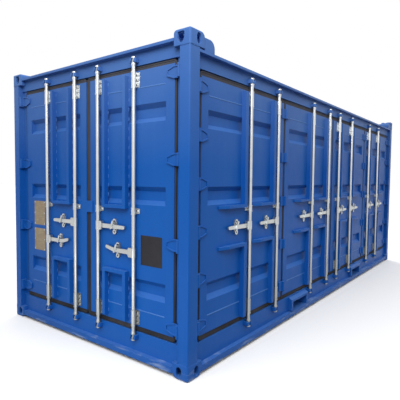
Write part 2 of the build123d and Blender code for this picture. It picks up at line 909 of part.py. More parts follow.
def lock_handle(face, place, side, up, crank):
    """A forged handle: hub block clamped on the bar, an arm that narrows to its grip, and a hasp."""
    waist = (place + side * arm_waist_reach, up)
    tip = (place + side * arm_reach, up + crank)
    catch = place + side * catch_reach
    arm_front = bar_depth - arm_sheet / 2
    with BuildPart() as handle:
        with BuildSketch(face.offset(-bar_depth - arm_sheet / 2)):
            with Locations((place, up)):
                Circle(arm_root)
            with Locations(waist):
                Circle(arm_waist)
            make_hull()
        extrude(amount=arm_sheet)
        with BuildSketch(face.offset(-bar_depth - arm_sheet / 2)):
            with Locations(waist):
                Circle(arm_waist)
            with Locations(tip):
                Circle(arm_tip)
            make_hull()
        extrude(amount=arm_sheet)
        with BuildSketch(face.offset(-bar_depth - hub_depth / 2)):
            with Locations((place + side * hub_length / 2, up)):
                Rectangle(hub_length, hub_height)
            chamfer(vertices(), hub_bevel)
        extrude(amount=hub_depth)
        with BuildSketch(level(face, up - hub_height / 2)):
            with Locations((place, bar_depth)):
                Circle(hub_ring)
        extrude(amount=hub_height)
        with BuildSketch(level(face, up - hub_height / 2)):
            with Locations((place, bar_depth)):
                Circle(bar_radius + bar_fit)
        extrude(amount=hub_height, mode=Mode.SUBTRACT)
        with BuildSketch(face.offset(-arm_front)):
            with Locations((catch, up + hasp_rise)):
                Circle(hasp_width / 2)
            with Locations((catch - hasp_lean, up - hasp_fall)):
                Circle(hasp_width / 2)
            make_hull()
        extrude(amount=hasp_sheet)
    return handle.part


def bar_brackets(face, place, levels):
    """Bearing brackets of one bar: a plate on the leaf and a ringed sleeve round the bar."""
    with BuildPart() as brackets:
        for low, tall in levels:
            start = low - sleeve_overrun
            end = low + tall + sleeve_overrun
            with BuildSketch(face.offset(-leaf_face)):
                with Locations((place, low + tall / 2)):
                    RectangleRounded(bracket_width, tall, bracket_round)
            extrude(amount=bracket_sheet)
            with BuildSketch(level(face, low)):
                with Locations((place, leaf_face)):
                    Rectangle(2 * sleeve_radius, leaf_face - bar_depth, align=(Align.CENTER, Align.MAX))
            extrude(amount=tall)
            with BuildSketch(level(face, start)):
                with Locations((place, bar_depth)):
                    Circle(sleeve_radius)
            extrude(amount=end - start)
            for ring_start in (start, end - ring_height):
                with BuildSketch(level(face, ring_start)):
                    with Locations((place, bar_depth)):
                        Circle(sleeve_ring)
                extrude(amount=ring_height)
            with BuildSketch(level(face, start)):
                with Locations((place, bar_depth)):
                    Circle(bar_radius + bar_fit)
            extrude(amount=end - start, mode=Mode.SUBTRACT)
    return brackets.part


def handle_catch(face, place, side, up):
    """A catch for one handle: a plate on the leaf with a pierced lobe above and below the arm."""
    with BuildPart() as catch:
        with BuildSketch(face.offset(-leaf_face)):
            with Locations((place + side * catch_reach, up)):
                SlotOverall(catch_height, catch_width, rotation=90)
        extrude(amount=catch_sheet)
        with BuildSketch(face.offset(-leaf_face)):
            with Locations((place + side * catch_reach, up)):
                with GridLocations(0, 2 * catch_lobe, 1, 2):
                    Circle(catch_width / 2)
        extrude(amount=lobe_depth)
        with BuildSketch(face.offset(-leaf_face)):
            with Locations((place + side * catch_reach, up)):
                with GridLocations(0, 2 * catch_lobe, 1, 2):
                    Circle(catch_hole)
        extrude(amount=lobe_depth, mode=Mode.SUBTRACT)
    return catch.part


def bracket_levels(top, clamp):
    """Low ends and heights of the long brackets at both ends and the short clamp between them."""
    return (
        (leaf_bottom + bracket_inset, long_bracket),
        (clamp - short_bracket + clamp_rise, short_bracket),
        (top - bracket_inset - long_bracket, long_bracket),
    )


# Locking gear of the end doors: upper handles on the inner bars point away from the middle,
# lower handles on the outer bars point towards it and bend up at the grip
end_bracket_levels = bracket_levels(end_leaf_top, end_rib_zone[1])
for name, side in end_sides.items():
    gear = list(zip(end_bars, end_handle_levels, (side, -side), (0, arm_crank), ("inner", "outer")))
    with BuildPart() as brackets:
        for place in end_bars:
            add(bar_brackets(end_face, side * place, end_bracket_levels))
    save(brackets.part, f"{name}_end_bar_brackets")
    with BuildPart() as catches:
        for place, up, turn, _, _ in gear:
            add(handle_catch(end_face, side * place, turn, up))
    save(catches.part, f"{name}_end_handle_catches")
    for place, up, turn, crank, which in gear:
        save(lock_bar(end_face, side * place, end_keepers), f"{name}_{which}_lock_bar")
        save(lock_handle(end_face, side * place, turn, up, crank), f"{name}_{which}_handle")

# Locking gear of the folding doors: every handle points away from the middle of the side
side_bracket_levels = bracket_levels(side_leaf_top, side_rib_zone[1])
with BuildPart() as side_lock_bars:
    for place in side_bar_places:
        add(lock_bar(side_face, place, side_keepers))
save(side_lock_bars.part, "side_lock_bars")
with BuildPart() as side_handles:
    for side, place in side_bars:
        add(lock_handle(side_face, place, side, side_handle_level, 0))
save(side_handles.part, "side_handles")
with BuildPart() as side_bar_brackets:
    for place in side_bar_places:
        add(bar_brackets(side_face, place, side_bracket_levels))
save(side_bar_brackets.part, "side_bar_brackets")
with BuildPart() as side_handle_catches:
    for side, place in side_bars:
        add(handle_catch(side_face, place, side, side_handle_level))
save(side_handle_catches.part, "side_handle_catches")


def hinge_lugs(face, place, up):
    """Post half of a hinge: two lugs standing out of the recess, joined by the pin."""
    with BuildPart() as lugs:
        for low in (up - hinge_height / 2, up + hinge_height / 2 - lug_height):
            with BuildSketch(level(face, low)):
                with Locations((place, pin_depth)):
                    Circle(lug_radius)
                    Rectangle(2 * lug_radius, seat_depth - pin_depth, align=(Align.CENTER, Align.MIN))
            extrude(amount=lug_height)
        with BuildSketch(level(face, up - hinge_height / 2)):
            with Locations((place, pin_depth)):
                Circle(pin_radius)
        extrude(amount=hinge_height)
    return lugs.part


def hinge_blade(face, place, side, up):
    """Leaf half of a hinge: knuckle round the pin, web back to the leaf and a tapered strap."""
    knuckle_height = hinge_height - 2 * lug_height - 2 * hinge_gap
    start = place + side * knuckle_radius
    broad = start + side * lug_radius
    taper = place + side * (strap_length - strap_taper)
    finish = place + side * strap_length
    strap = (
        (start, up - knuckle_height / 2),
        (broad, up - strap_height / 2),
        (taper, up - strap_height / 2),
        (finish, up - strap_tip / 2),
        (finish, up + strap_tip / 2),
        (taper, up + strap_height / 2),
        (broad, up + strap_height / 2),
        (start, up + knuckle_height / 2),
    )
    with BuildPart() as blade:
        with BuildSketch(level(face, up - knuckle_height / 2)):
            with Locations((place, pin_depth)):
                Circle(knuckle_radius)
                Rectangle(2 * knuckle_radius, leaf_face - pin_depth, align=(Align.CENTER, Align.MIN))
                Circle(pin_radius + pin_fit, mode=Mode.SUBTRACT)
        extrude(amount=knuckle_height)
        with BuildSketch(face.offset(-leaf_face)):
            with BuildLine():
                Polyline(*strap, close=True)
            make_face()
        extrude(amount=strap_sheet)
        with BuildSketch(face.offset(strap_sheet - leaf_face)):
            with BuildLine():
                Polyline(*strap, close=True)
            make_face()
            offset(amount=-strap_rim, kind=Kind.INTERSECTION, mode=Mode.REPLACE)
        extrude(amount=-strap_dip, mode=Mode.SUBTRACT)
    return blade.part


def fold_hinge(face, place, up):
    """Hinge between two folding leaves: a barrel over the gap and a strap on each leaf."""
    with BuildPart() as hinge:
        with BuildSketch(level(face, up - strap_height / 2)):
            with Locations((place, leaf_face)):
                Rectangle(2 * fold_strap, strap_sheet, align=(Align.CENTER, Align.MAX))
                Rectangle(2 * knuckle_radius, leaf_face - fold_depth, align=(Align.CENTER, Align.MAX))
            with Locations((place, fold_depth)):
                Circle(knuckle_radius)
        extrude(amount=strap_height)
    return hinge.part


# Hinges of the end doors
end_pin = width / 2 - end_flange - pin_from_flange
side_pin = length / 2 - side_flange - pin_from_flange
end_hinges = spread(leaf_bottom + end_hinge_inset, end_leaf_top - end_hinge_inset, end_hinge_count)
side_hinges = spread(leaf_bottom + side_hinge_inset, side_leaf_top - side_hinge_inset, side_hinge_count)
fold_hinges = spread(leaf_bottom + fold_hinge_inset, side_leaf_top - fold_hinge_inset, fold_hinge_count)
for name, side in end_sides.items():
    with BuildPart() as blades:
        for up in end_hinges:
            add(hinge_blade(end_face, side * end_pin, -side, up))
    save(blades.part, f"{name}_end_hinge_blades")

with BuildPart() as post_hinge_lugs:
    for side in (-1, 1):
        for up in end_hinges:
            add(hinge_lugs(end_face, side * end_pin, up))
        for up in side_hinges:
            add(hinge_lugs(side_face, side * side_pin, up))
save(post_hinge_lugs.part, "post_hinge_lugs")

# Hinges of the folding doors
with BuildPart() as side_hinge_blades:
    for side in (-1, 1):
        for up in side_hinges:
            add(hinge_blade(side_face, side * side_pin, -side, up))
save(side_hinge_blades.part, "side_hinge_blades")

with BuildPart() as side_fold_hinges:
    for side in (-1, 1):
        for up in fold_hinges:
            add(fold_hinge(side_face, side * side_fold, up))
save(side_fold_hinges.part, "side_fold_hinges")
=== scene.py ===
# %% [markdown]
# # An open-side freight container in Blender
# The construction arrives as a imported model, in metres: origin in the middle of the footprint, the
# end doors at low X, the folding doors at low Y, Z up. This lesson dresses it: paint, zinc, rubber
# and plywood as node materials, then the small things a builder welds, bolts or rivets on, worked out
# with numpy.

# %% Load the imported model
import math

import bmesh
import bpy
import numpy as np
from mathutils import Matrix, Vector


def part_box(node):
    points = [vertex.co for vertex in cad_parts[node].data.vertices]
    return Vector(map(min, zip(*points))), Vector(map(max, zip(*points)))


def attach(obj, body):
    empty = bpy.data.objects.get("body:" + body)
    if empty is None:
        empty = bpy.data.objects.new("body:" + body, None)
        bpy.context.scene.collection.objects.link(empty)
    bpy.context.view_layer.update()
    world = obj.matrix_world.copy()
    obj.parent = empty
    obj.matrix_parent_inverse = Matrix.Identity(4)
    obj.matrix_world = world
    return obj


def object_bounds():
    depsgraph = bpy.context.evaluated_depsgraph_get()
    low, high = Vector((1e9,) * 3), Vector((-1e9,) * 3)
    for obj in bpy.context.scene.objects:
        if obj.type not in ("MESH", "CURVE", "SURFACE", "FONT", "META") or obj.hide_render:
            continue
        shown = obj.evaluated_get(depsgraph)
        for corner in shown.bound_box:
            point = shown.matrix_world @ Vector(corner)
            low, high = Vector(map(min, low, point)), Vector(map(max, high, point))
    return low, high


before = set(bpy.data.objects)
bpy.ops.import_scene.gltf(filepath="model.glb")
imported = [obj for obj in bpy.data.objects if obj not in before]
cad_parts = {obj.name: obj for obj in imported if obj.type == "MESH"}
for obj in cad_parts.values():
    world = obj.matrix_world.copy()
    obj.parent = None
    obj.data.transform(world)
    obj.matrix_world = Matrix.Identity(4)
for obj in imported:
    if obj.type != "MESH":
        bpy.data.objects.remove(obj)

cad_low, cad_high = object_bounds()
scene = bpy.context.scene
print("size in metres:", [round(high - low, 3) for low, high in zip(cad_low, cad_high)])

# %% [markdown]
# ## The camera
# The photographer stood off the corner between the two sets of doors, at about chest height, and the
# camera leaned by half a degree. A camera could track an empty, but a place and three angles are
# easier to read and to change, so its axes are worked out directly.

# %% Place the camera
MM = 0.001
IMAGE_WIDTH = 400
FOCAL_PIXELS = 406.4
SENSOR_MM = 36.0
CAMERA_PLACE_MM = (-5298.8, -3061.4, 1517.2)
HEADING = math.radians(37.53)
PITCH = math.radians(-3.056)
ROLL = math.radians(0.558)

ahead = np.array([
    math.cos(PITCH) * math.cos(HEADING),
    math.cos(PITCH) * math.sin(HEADING),
    math.sin(PITCH),
])
level_right = np.array([math.sin(HEADING), -math.cos(HEADING), 0.0])
level_up = np.cross(level_right, ahead)

camera = bpy.data.objects.new("camera", bpy.data.cameras.new("camera"))
camera.data.sensor_width = SENSOR_MM
camera.data.lens = SENSOR_MM * FOCAL_PIXELS / IMAGE_WIDTH
stand = np.eye(4)
stand[:3, 0] = math.cos(ROLL) * level_right + math.sin(ROLL) * level_up
stand[:3, 1] = math.cos(ROLL) * level_up - math.sin(ROLL) * level_right
stand[:3, 2] = -ahead
stand[:3, 3] = np.array(CAMERA_PLACE_MM) * MM
camera.matrix_world = Matrix(stand.tolist())
scene.collection.objects.link(camera)
scene.camera = camera
print("lens of", round(camera.data.lens, 2), "mm at", CAMERA_PLACE_MM)

# %% [markdown]
# ## Colour and node helpers
# Colours are written as the hex values a paint card would give. Blender works in linear light, so one
# function converts them. Another adds a node, and sets or links what it is given, so that a material
# reads as a list of steps.

# %% Colours, nodes and sizes
def linear(hex_colour):
    """Linear RGBA of an sRGB hex value: c / 12.92 below 0.04045, else ((c + 0.055) / 1.055) ** 2.4."""
    srgb = np.array([int(hex_colour[place:place + 2], 16) for place in (1, 3, 5)]) / 255
    value = np.where(srgb <= 0.04045, srgb / 12.92, ((srgb + 0.055) / 1.055) ** 2.4)
    return (*value.tolist(), 1.0)


def node(tree, kind, inputs=None, **settings):
    """Add one shader node; an input that is another node's socket is linked, anything else is set."""
    made = tree.nodes.new("ShaderNode" + kind)
    for name, value in settings.items():
        setattr(made, name, value)
    for name, value in (inputs or {}).items():
        if isinstance(value, bpy.types.NodeSocket):
            tree.links.new(value, made.inputs[name])
        else:
            made.inputs[name].default_value = value
    return made


def per_mm(size_mm):
    """Texture scale for a pattern of one size, where the coordinates are in metres."""
    return 1 / (size_mm * MM)


print("white is", linear("#FFFFFF"), "and a pattern of 10 mm has the scale", per_mm(10))

# %% [markdown]
# Every material opens and closes in the same way: object coordinates at the start, so that patterns
# have real sizes and move with their piece, and one Principled shader at the end.

# %% Open and close a material
def new_material(name):
    """An empty node material, its tree and its object coordinates, which are in metres."""
    material = bpy.data.materials.new(name)
    material.use_nodes = True
    tree = material.node_tree
    tree.nodes.clear()
    return material, tree, node(tree, "TexCoord").outputs["Object"]


def close_material(tree, **sockets):
    """Put a Principled shader with these sockets at the end of the tree; words join with underscores."""
    values = {name.replace("_", " "): value for name, value in sockets.items()}
    shader = node(tree, "BsdfPrincipled", values)
    node(tree, "OutputMaterial", {"Surface": shader.outputs[0]})


print("materials that came with the model:", len(bpy.data.materials))

# %% [markdown]
# ## Blue paint
# The steel is blasted, primed and sprayed with a satin marine alkyd. From a few metres the clean coat
# shows slow drift in tone and streaks where rain runs down, and towards the roof a pale bloom is
# painted in as the reflection of the sky. A photograph of paint would repeat and blur. Noise in object
# coordinates
# has a real size and covers every side alike, so each effect is one noise pattern mixed over the last
# colour.

# %% Tone of the coat
DRIFT = 1100
STREAK_WIDE = 45
STREAK_TALL = 1400
SKY_SHEEN_HEIGHTS = {"From Min": 1.6, "From Max": 2.6}


def coat_tone(tree, place, height):
    """Two blues that drift into each other, upright streaks, and a painted sky reflection towards the roof.
    """
    drift = node(tree, "TexNoise", {"Vector": place, "Scale": per_mm(DRIFT), "Detail": 4.0})
    tone = node(tree, "MapRange", {"Value": drift.outputs["Fac"], "From Min": 0.3, "From Max": 0.7})
    coat = node(tree, "MixRGB", {
        "Fac": tone.outputs["Result"], "Color1": linear("#1153A5"), "Color2": linear("#135AAE"),
    })
    stretched = node(tree, "Mapping", {
        "Vector": place, "Scale": (per_mm(STREAK_WIDE), per_mm(STREAK_WIDE), per_mm(STREAK_TALL)),
    })
    rain = node(tree, "TexNoise", {"Vector": stretched.outputs["Vector"], "Scale": 1.0, "Detail": 3.0})
    streak = node(tree, "MapRange", {
        "Value": rain.outputs["Fac"], "From Min": 0.5, "From Max": 0.8, "To Max": 0.22,
    })
    streaked = node(tree, "MixRGB", {
        "Fac": streak.outputs["Result"], "Color1": coat.outputs["Color"], "Color2": linear("#2C64AC"),
    })
    # Painted sky reflection: paler towards the roof, patchy with the drift.
    sky_light_by_height = node(tree, "MapRange", {"Value": height, **SKY_SHEEN_HEIGHTS, "To Max": 0.4})
    painted_sky_sheen = node(tree, "Math", {
        0: sky_light_by_height.outputs["Result"], 1: drift.outputs["Fac"],
    }, operation="MULTIPLY")
    return node(tree, "MixRGB", {
        "Fac": painted_sky_sheen.outputs["Value"], "Color1": streaked.outputs["Color"], "Color2": linear("#A4C6F0"),
    }).outputs["Color"]


print("tone drifts over", DRIFT, "mm; streaks are", STREAK_WIDE, "mm wide and", STREAK_TALL, "mm tall")

# %% [markdown]
# What looks up gets a pale blue: partly dust that settles there, and partly painted sky light, as
# tops that face the sky look brighter. Wheels splash grey grime on the lowest quarter of a metre. Both
# could be painted by hand onto each piece. Here the direction of the surface and its height decide,
# so a piece that is added later gets the same dust, painted light and grime as the rest.

# %% Dust, painted sky light and grime
DUST_AND_SKY_MORE = 0.12
GRIME_HEIGHTS = {"From Min": 0.26, "From Max": 0.02}


def dusted_and_skylit(tree, colour, dust_and_sky_share):
    """Pale blue, partly dust and partly painted sky light: a share everywhere, more where the surface looks
    up.
    """
    normal = node(tree, "NewGeometry").outputs["Normal"]
    facing = node(tree, "SeparateXYZ", {"Vector": normal}).outputs["Z"]
    # Painted sky light and dust: paler where the surface faces up.
    sky_and_dust_on_tops = node(tree, "MapRange", {
        "Value": facing, "From Min": 0.25, "From Max": 0.9,
        "To Min": dust_and_sky_share, "To Max": DUST_AND_SKY_MORE + dust_and_sky_share,
    })
    return node(tree, "MixRGB", {
        "Fac": sky_and_dust_on_tops.outputs["Result"], "Color1": colour, "Color2": linear("#8AB4E4"),
    }).outputs["Color"]


def splashed(tree, colour, height, patch):
    """Grey road grime in patches, thicker the nearer the ground."""
    low = node(tree, "MapRange", {"Value": height, **GRIME_HEIGHTS, "To Max": 0.2})
    splash = node(tree, "Math", {0: patch, 1: low.outputs["Result"]}, operation="MULTIPLY")
    return node(tree, "MixRGB", {
        "Fac": splash.outputs["Value"], "Color1": colour, "Color2": linear("#5C6470"),
    }).outputs["Color"]


print("grime between the heights", GRIME_HEIGHTS, "in metres")

# %% [markdown]
# The feet of the beams take the knocks: stones chip the coat down to its brown primer, and whatever
# the box is dragged over rubs it pale along the lower edge. Chips have hard edges, so a noise is cut
# at a level that depends on the height. Rubbing is soft and drawn out lengthwise.

# %% Chips and rubbing
CHIP = 26
CHIP_HEIGHTS = {"From Min": 0.14, "From Max": 0.0}
RUB_LONG = 210
RUB_TALL = 34
RUB_HEIGHTS = {"From Min": 0.11, "From Max": 0.076}


def chipped(tree, colour, place, height, chip_share):
    """Hard-edged spots of primer where the noise passes a level that falls towards the ground."""
    flake = node(tree, "TexNoise", {
        "Vector": place, "Scale": per_mm(CHIP), "Detail": 8.0, "Roughness": 0.7,
    })
    level = node(tree, "MapRange", {
        "Value": height, **CHIP_HEIGHTS, "To Min": 0.86 - chip_share, "To Max": 0.72,
    })
    bare = node(tree, "Math", {
        0: flake.outputs["Fac"], 1: level.outputs["Result"],
    }, operation="GREATER_THAN")
    return node(tree, "MixRGB", {
        "Fac": bare.outputs["Value"], "Color1": colour, "Color2": linear("#6E5A50"),
    }).outputs["Color"]


def rubbed(tree, colour, place, height):
    """Soft pale marks, longer than tall, along the lowest edge of the beams."""
    dragged = node(tree, "Mapping", {
        "Vector": place, "Scale": (per_mm(RUB_LONG), per_mm(RUB_LONG), per_mm(RUB_TALL)),
    })
    rub = node(tree, "TexNoise", {"Vector": dragged.outputs["Vector"], "Scale": 1.0, "Detail": 7.0})
    knee = node(tree, "MapRange", {"Value": height, **RUB_HEIGHTS, "To Min": 1.0, "To Max": 0.56})
    pressed = node(tree, "Math", {
        0: rub.outputs["Fac"], 1: knee.outputs["Result"],
    }, operation="SUBTRACT")
    share = node(tree, "MapRange", {"Value": pressed.outputs["Value"], "From Max": 0.14, "To Max": 0.5})
    return node(tree, "MixRGB", {
        "Fac": share.outputs["Result"], "Color1": colour, "Color2": linear("#9DB0CC"),
    }).outputs["Color"]


print("chips of about", CHIP, "mm, rub marks of", RUB_LONG, "by", RUB_TALL, "mm")

# %% [markdown]
# The same coat goes on rolled sheet, on rough castings and over weld beads, with a different surface
# under it each time. Sprayed paint dries with a fine orange peel, really 1 to 3 mm across; it is
# drawn coarser here so that it still shows from a few metres. A Bevel node rounds the sharp edges of
# the model, so that folded corners catch the light as bent steel does, without a single extra face.

# %% Spray the paints
PATCH = 120


def sprayed_paint(name, peel, peel_depth, edge, chip_share=0.0, dust_and_sky_share=0.0):
    """Satin alkyd on steel, with its peel, the depth of that and its rounded edges in mm."""
    material, tree, place = new_material(name)
    height = node(tree, "SeparateXYZ", {"Vector": place}).outputs["Z"]
    patch = node(tree, "TexNoise", {
        "Vector": place, "Scale": per_mm(PATCH), "Detail": 6.0, "Roughness": 0.65,
    }).outputs["Fac"]
    colour = coat_tone(tree, place, height)
    colour = dusted_and_skylit(tree, colour, dust_and_sky_share)
    colour = splashed(tree, colour, height, patch)
    colour = chipped(tree, colour, place, height, chip_share)
    colour = rubbed(tree, colour, place, height)
    ripple = node(tree, "TexNoise", {"Vector": place, "Scale": per_mm(peel), "Detail": 2.0})
    rounded = node(tree, "Bevel", {"Radius": edge * MM}, samples=6)
    relief = node(tree, "Bump", {
        "Height": ripple.outputs["Fac"], "Distance": peel_depth * MM, "Strength": 0.6,
        "Normal": rounded.outputs["Normal"],
    })
    gloss = node(tree, "MapRange", {"Value": patch, "To Min": 0.34, "To Max": 0.56})
    close_material(
        tree, Base_Color=colour, Roughness=gloss.outputs["Result"], Normal=relief.outputs["Normal"],
        IOR=1.5, Specular_IOR_Level=0.14,
    )
    return material


sheet_paint = sprayed_paint("satin_alkyd_on_sheet_steel", peel=14, peel_depth=0.25, edge=4)
casting_paint = sprayed_paint("satin_alkyd_on_cast_steel", peel=9, peel_depth=0.9, edge=7, chip_share=0.06)
# The beads get a share of the pale blue all over: a painted highlight on their crowns, and some dust.
bead_paint = sprayed_paint("satin_alkyd_on_weld_beads", peel=6, peel_depth=0.9, edge=1, dust_and_sky_share=0.2)
print("paints:", sheet_paint.name, casting_paint.name, bead_paint.name)

# %% [markdown]
# ## Dipped zinc
# The locking gear is forged steel dipped in molten zinc, which sets as crystals a few millimetres
# across in slightly different greys. The upper half is painted paler, as light from above shows it,
# and hands and road dirt dull the lower half. Noise alone would give soft clouds. A Voronoi pattern
# gives the crystals, because they too are cells that grew until they met.

# %% Tone of the zinc
SPANGLE = 9
TOP_LIGHT_AND_DIRT_HEIGHTS = {"From Min": 0.4, "From Max": 1.9}


def zinc_tone(tree, place, cloud):
    """Grey that pales with height as painted top light over road dirt, a faint glint from crystal to
    crystal, and duller clouds.
    """
    height = node(tree, "SeparateXYZ", {"Vector": place}).outputs["Z"]
    # Painted top light: paler towards the top, with road dirt greying the foot.
    top_light_and_dirt_ramp = node(tree, "MapRange", {"Value": height, **TOP_LIGHT_AND_DIRT_HEIGHTS})
    toplit_and_dirtied = node(tree, "MixRGB", {
        "Fac": top_light_and_dirt_ramp.outputs["Result"], "Color1": linear("#9A9D9B"), "Color2": linear("#DADDDE"),
    })
    spangle = node(tree, "TexVoronoi", {"Vector": place, "Scale": per_mm(SPANGLE)})
    crystal = node(tree, "SeparateColor", {"Color": spangle.outputs["Color"]})
    glint = node(tree, "MapRange", {"Value": crystal.outputs["Red"], "To Max": 0.16})
    bright = node(tree, "MixRGB", {
        "Fac": glint.outputs["Result"], "Color1": toplit_and_dirtied.outputs["Color"], "Color2": linear("#C6C8C6"),
    })
    dull = node(tree, "MapRange", {"Value": cloud, "From Min": 0.42, "From Max": 0.72, "To Max": 0.35})
    return node(tree, "MixRGB", {
        "Fac": dull.outputs["Result"], "Color1": bright.outputs["Color"], "Color2": linear("#9C9E9A"),
    }).outputs["Color"]


print("zinc crystals of", SPANGLE, "mm; paler between the heights", TOP_LIGHT_AND_DIRT_HEIGHTS, "in metres")

# %% [markdown]
# The corners where pieces meet are darkened: painted shade, together with the dirt that stays there
# out of the rain's reach. It could be painted by hand, but an Ambient Occlusion node finds every such
# corner by itself. The gloss follows the same clouds as the tone, because dull zinc is rough zinc.
# Real pits are under a millimetre; these are drawn coarse enough to show.

# %% Dip the locking gear
CLOUD = 160
NOOK_SHADE_REACH = 12
PIT = 6
ZINC_EDGE = 2.5


def dipped_zinc():
    """Hot-dipped zinc: its tone, painted shade and dirt in the nooks, uneven gloss and shallow pits."""
    material, tree, place = new_material("hot_dipped_zinc_on_steel")
    cloud = node(tree, "TexNoise", {
        "Vector": place, "Scale": per_mm(CLOUD), "Detail": 5.0,
    }).outputs["Fac"]
    # Painted shade: the Ambient Occlusion darkens every corner, and also stands for dirt there.
    nook_shade = node(tree, "AmbientOcclusion", {"Distance": NOOK_SHADE_REACH * MM}, samples=6)
    shade_and_dirt = node(tree, "MapRange", {
        "Value": nook_shade.outputs["AO"], "From Min": 0.62, "From Max": 0.3, "To Max": 0.75,
    })
    shaded_and_soiled = node(tree, "MixRGB", {
        "Fac": shade_and_dirt.outputs["Result"], "Color1": zinc_tone(tree, place, cloud),
        "Color2": linear("#4C4E50"),
    })
    matt = node(tree, "MapRange", {"Value": cloud, "To Min": 0.2, "To Max": 0.4})
    pits = node(tree, "TexNoise", {"Vector": place, "Scale": per_mm(PIT), "Detail": 3.0})
    rounded = node(tree, "Bevel", {"Radius": ZINC_EDGE * MM}, samples=6)
    relief = node(tree, "Bump", {
        "Height": pits.outputs["Fac"], "Distance": 0.15 * MM, "Strength": 0.4,
        "Normal": rounded.outputs["Normal"],
    })
    close_material(
        tree, Base_Color=shaded_and_soiled.outputs["Color"], Metallic=0.9, Roughness=matt.outputs["Result"],
        Normal=relief.outputs["Normal"],
    )
    return material


zinc = dipped_zinc()
print(zinc.name, "has", len(zinc.node_tree.nodes), "nodes")

# %% [markdown]
# ## Rubber
# The seals are moulded EPDM, a soft black that dust turns grey in patches. Towards the roof it is
# painted paler, as light from above shows it. It could be one flat dark grey, but that would read as
# a gap between the doors. A little drift in tone and a grain make it read as a solid strip.

# %% Mould the seals
RUBBER_DUST = 220
# The real grain is well under a millimetre; this one is coarse enough to show.
RUBBER_GRAIN = 5
TOP_LIGHT_HEIGHTS = {"From Min": 0.9, "From Max": 2.4}


def moulded_rubber():
    """EPDM: soft black, dust that greys it in patches, painted top light with height and a moulded grain.
    """
    material, tree, place = new_material("moulded_epdm_rubber")
    dust = node(tree, "TexNoise", {"Vector": place, "Scale": per_mm(RUBBER_DUST), "Detail": 6.0})
    share = node(tree, "MapRange", {
        "Value": dust.outputs["Fac"], "From Min": 0.35, "From Max": 0.75, "To Max": 0.6,
    })
    colour = node(tree, "MixRGB", {
        "Fac": share.outputs["Result"], "Color1": linear("#28282C"), "Color2": linear("#47474D"),
    })
    height = node(tree, "SeparateXYZ", {"Vector": place}).outputs["Z"]
    # Painted top light: paler towards the roof.
    sky_light_by_height = node(tree, "MapRange", {"Value": height, **TOP_LIGHT_HEIGHTS, "To Max": 0.3})
    toplit_rubber = node(tree, "MixRGB", {
        "Fac": sky_light_by_height.outputs["Result"], "Color1": colour.outputs["Color"], "Color2": linear("#6E6E78"),
    })
    grain = node(tree, "TexNoise", {"Vector": place, "Scale": per_mm(RUBBER_GRAIN), "Detail": 3.0})
    relief = node(tree, "Bump", {"Height": grain.outputs["Fac"], "Distance": 0.3 * MM, "Strength": 0.4})
    close_material(
        tree, Base_Color=toplit_rubber.outputs["Color"], Roughness=0.72, Normal=relief.outputs["Normal"],
        Specular_IOR_Level=0.12,
    )
    return material


rubber = moulded_rubber()
# Between these heights the rubber is painted paler, as light from above.
print(rubber.name, "bleaches between the heights", TOP_LIGHT_HEIGHTS, "in metres")

# %% [markdown]
# ## Plywood
# The floor is brown-faced plywood, laid lengthwise in three rows of sheets with a dark joint between
# them. Boards could be modelled one by one, but the joints are too narrow to cast a shadow, so a
# brick pattern with the real size of a sheet draws them. Grain is noise stretched along the length.

# %% Lay the floor
GRAIN_LONG = 620
GRAIN_WIDE = 18
FLOOR_CORNER = (2919, 1109)
SHEET_LONG = 2400
SHEET_WIDE = 739.4
SHEET_JOINT = 3
SCUFF = 340


def faced_plywood():
    """Phenolic-faced plywood: grain drawn out along the length, sheets that differ, scuffs in traffic."""
    material, tree, place = new_material("phenolic_faced_plywood")
    drawn = node(tree, "Mapping", {
        "Vector": place, "Scale": (per_mm(GRAIN_LONG), per_mm(GRAIN_WIDE), per_mm(GRAIN_WIDE)),
    })
    grain = node(tree, "TexNoise", {"Vector": drawn.outputs["Vector"], "Scale": 1.0, "Detail": 8.0})
    wood = node(tree, "MixRGB", {
        "Fac": grain.outputs["Fac"], "Color1": linear("#4A3323"), "Color2": linear("#96704A"),
    })
    corner = node(tree, "Mapping", {
        "Vector": place, "Location": (FLOOR_CORNER[0] * MM, FLOOR_CORNER[1] * MM, 0.0),
    })
    sheets = node(tree, "TexBrick", {
        "Vector": corner.outputs["Vector"], "Scale": 1.0, "Brick Width": SHEET_LONG * MM,
        "Row Height": SHEET_WIDE * MM, "Mortar Size": SHEET_JOINT * MM,
        "Color1": linear("#FFFFFF"), "Color2": linear("#D8D0C8"), "Mortar": linear("#2A1C12"),
    })
    laid = node(tree, "MixRGB", {
        "Fac": 1.0, "Color1": wood.outputs["Color"], "Color2": sheets.outputs["Color"],
    }, blend_type="MULTIPLY")
    scuff = node(tree, "TexNoise", {"Vector": place, "Scale": per_mm(SCUFF), "Detail": 7.0})
    worn = node(tree, "MapRange", {
        "Value": scuff.outputs["Fac"], "From Min": 0.5, "From Max": 0.8, "To Max": 0.45,
    })
    walked = node(tree, "MixRGB", {
        "Fac": worn.outputs["Result"], "Color1": laid.outputs["Color"], "Color2": linear("#8C8378"),
    })
    relief = node(tree, "Bump", {"Height": grain.outputs["Fac"], "Distance": 0.6 * MM, "Strength": 0.5})
    close_material(
        tree, Base_Color=walked.outputs["Color"], Roughness=0.6, Normal=relief.outputs["Normal"], IOR=1.5,
    )
    return material


plywood = faced_plywood()
print(plywood.name, "in sheets of", SHEET_LONG, "by", SHEET_WIDE, "mm")

# %% [markdown]
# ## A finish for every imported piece
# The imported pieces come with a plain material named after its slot, such as seal_rubber. Each could
# be dressed by hand, but the slot already says what the piece is made of, so a table swaps the whole
# model at once and no piece is forgotten.

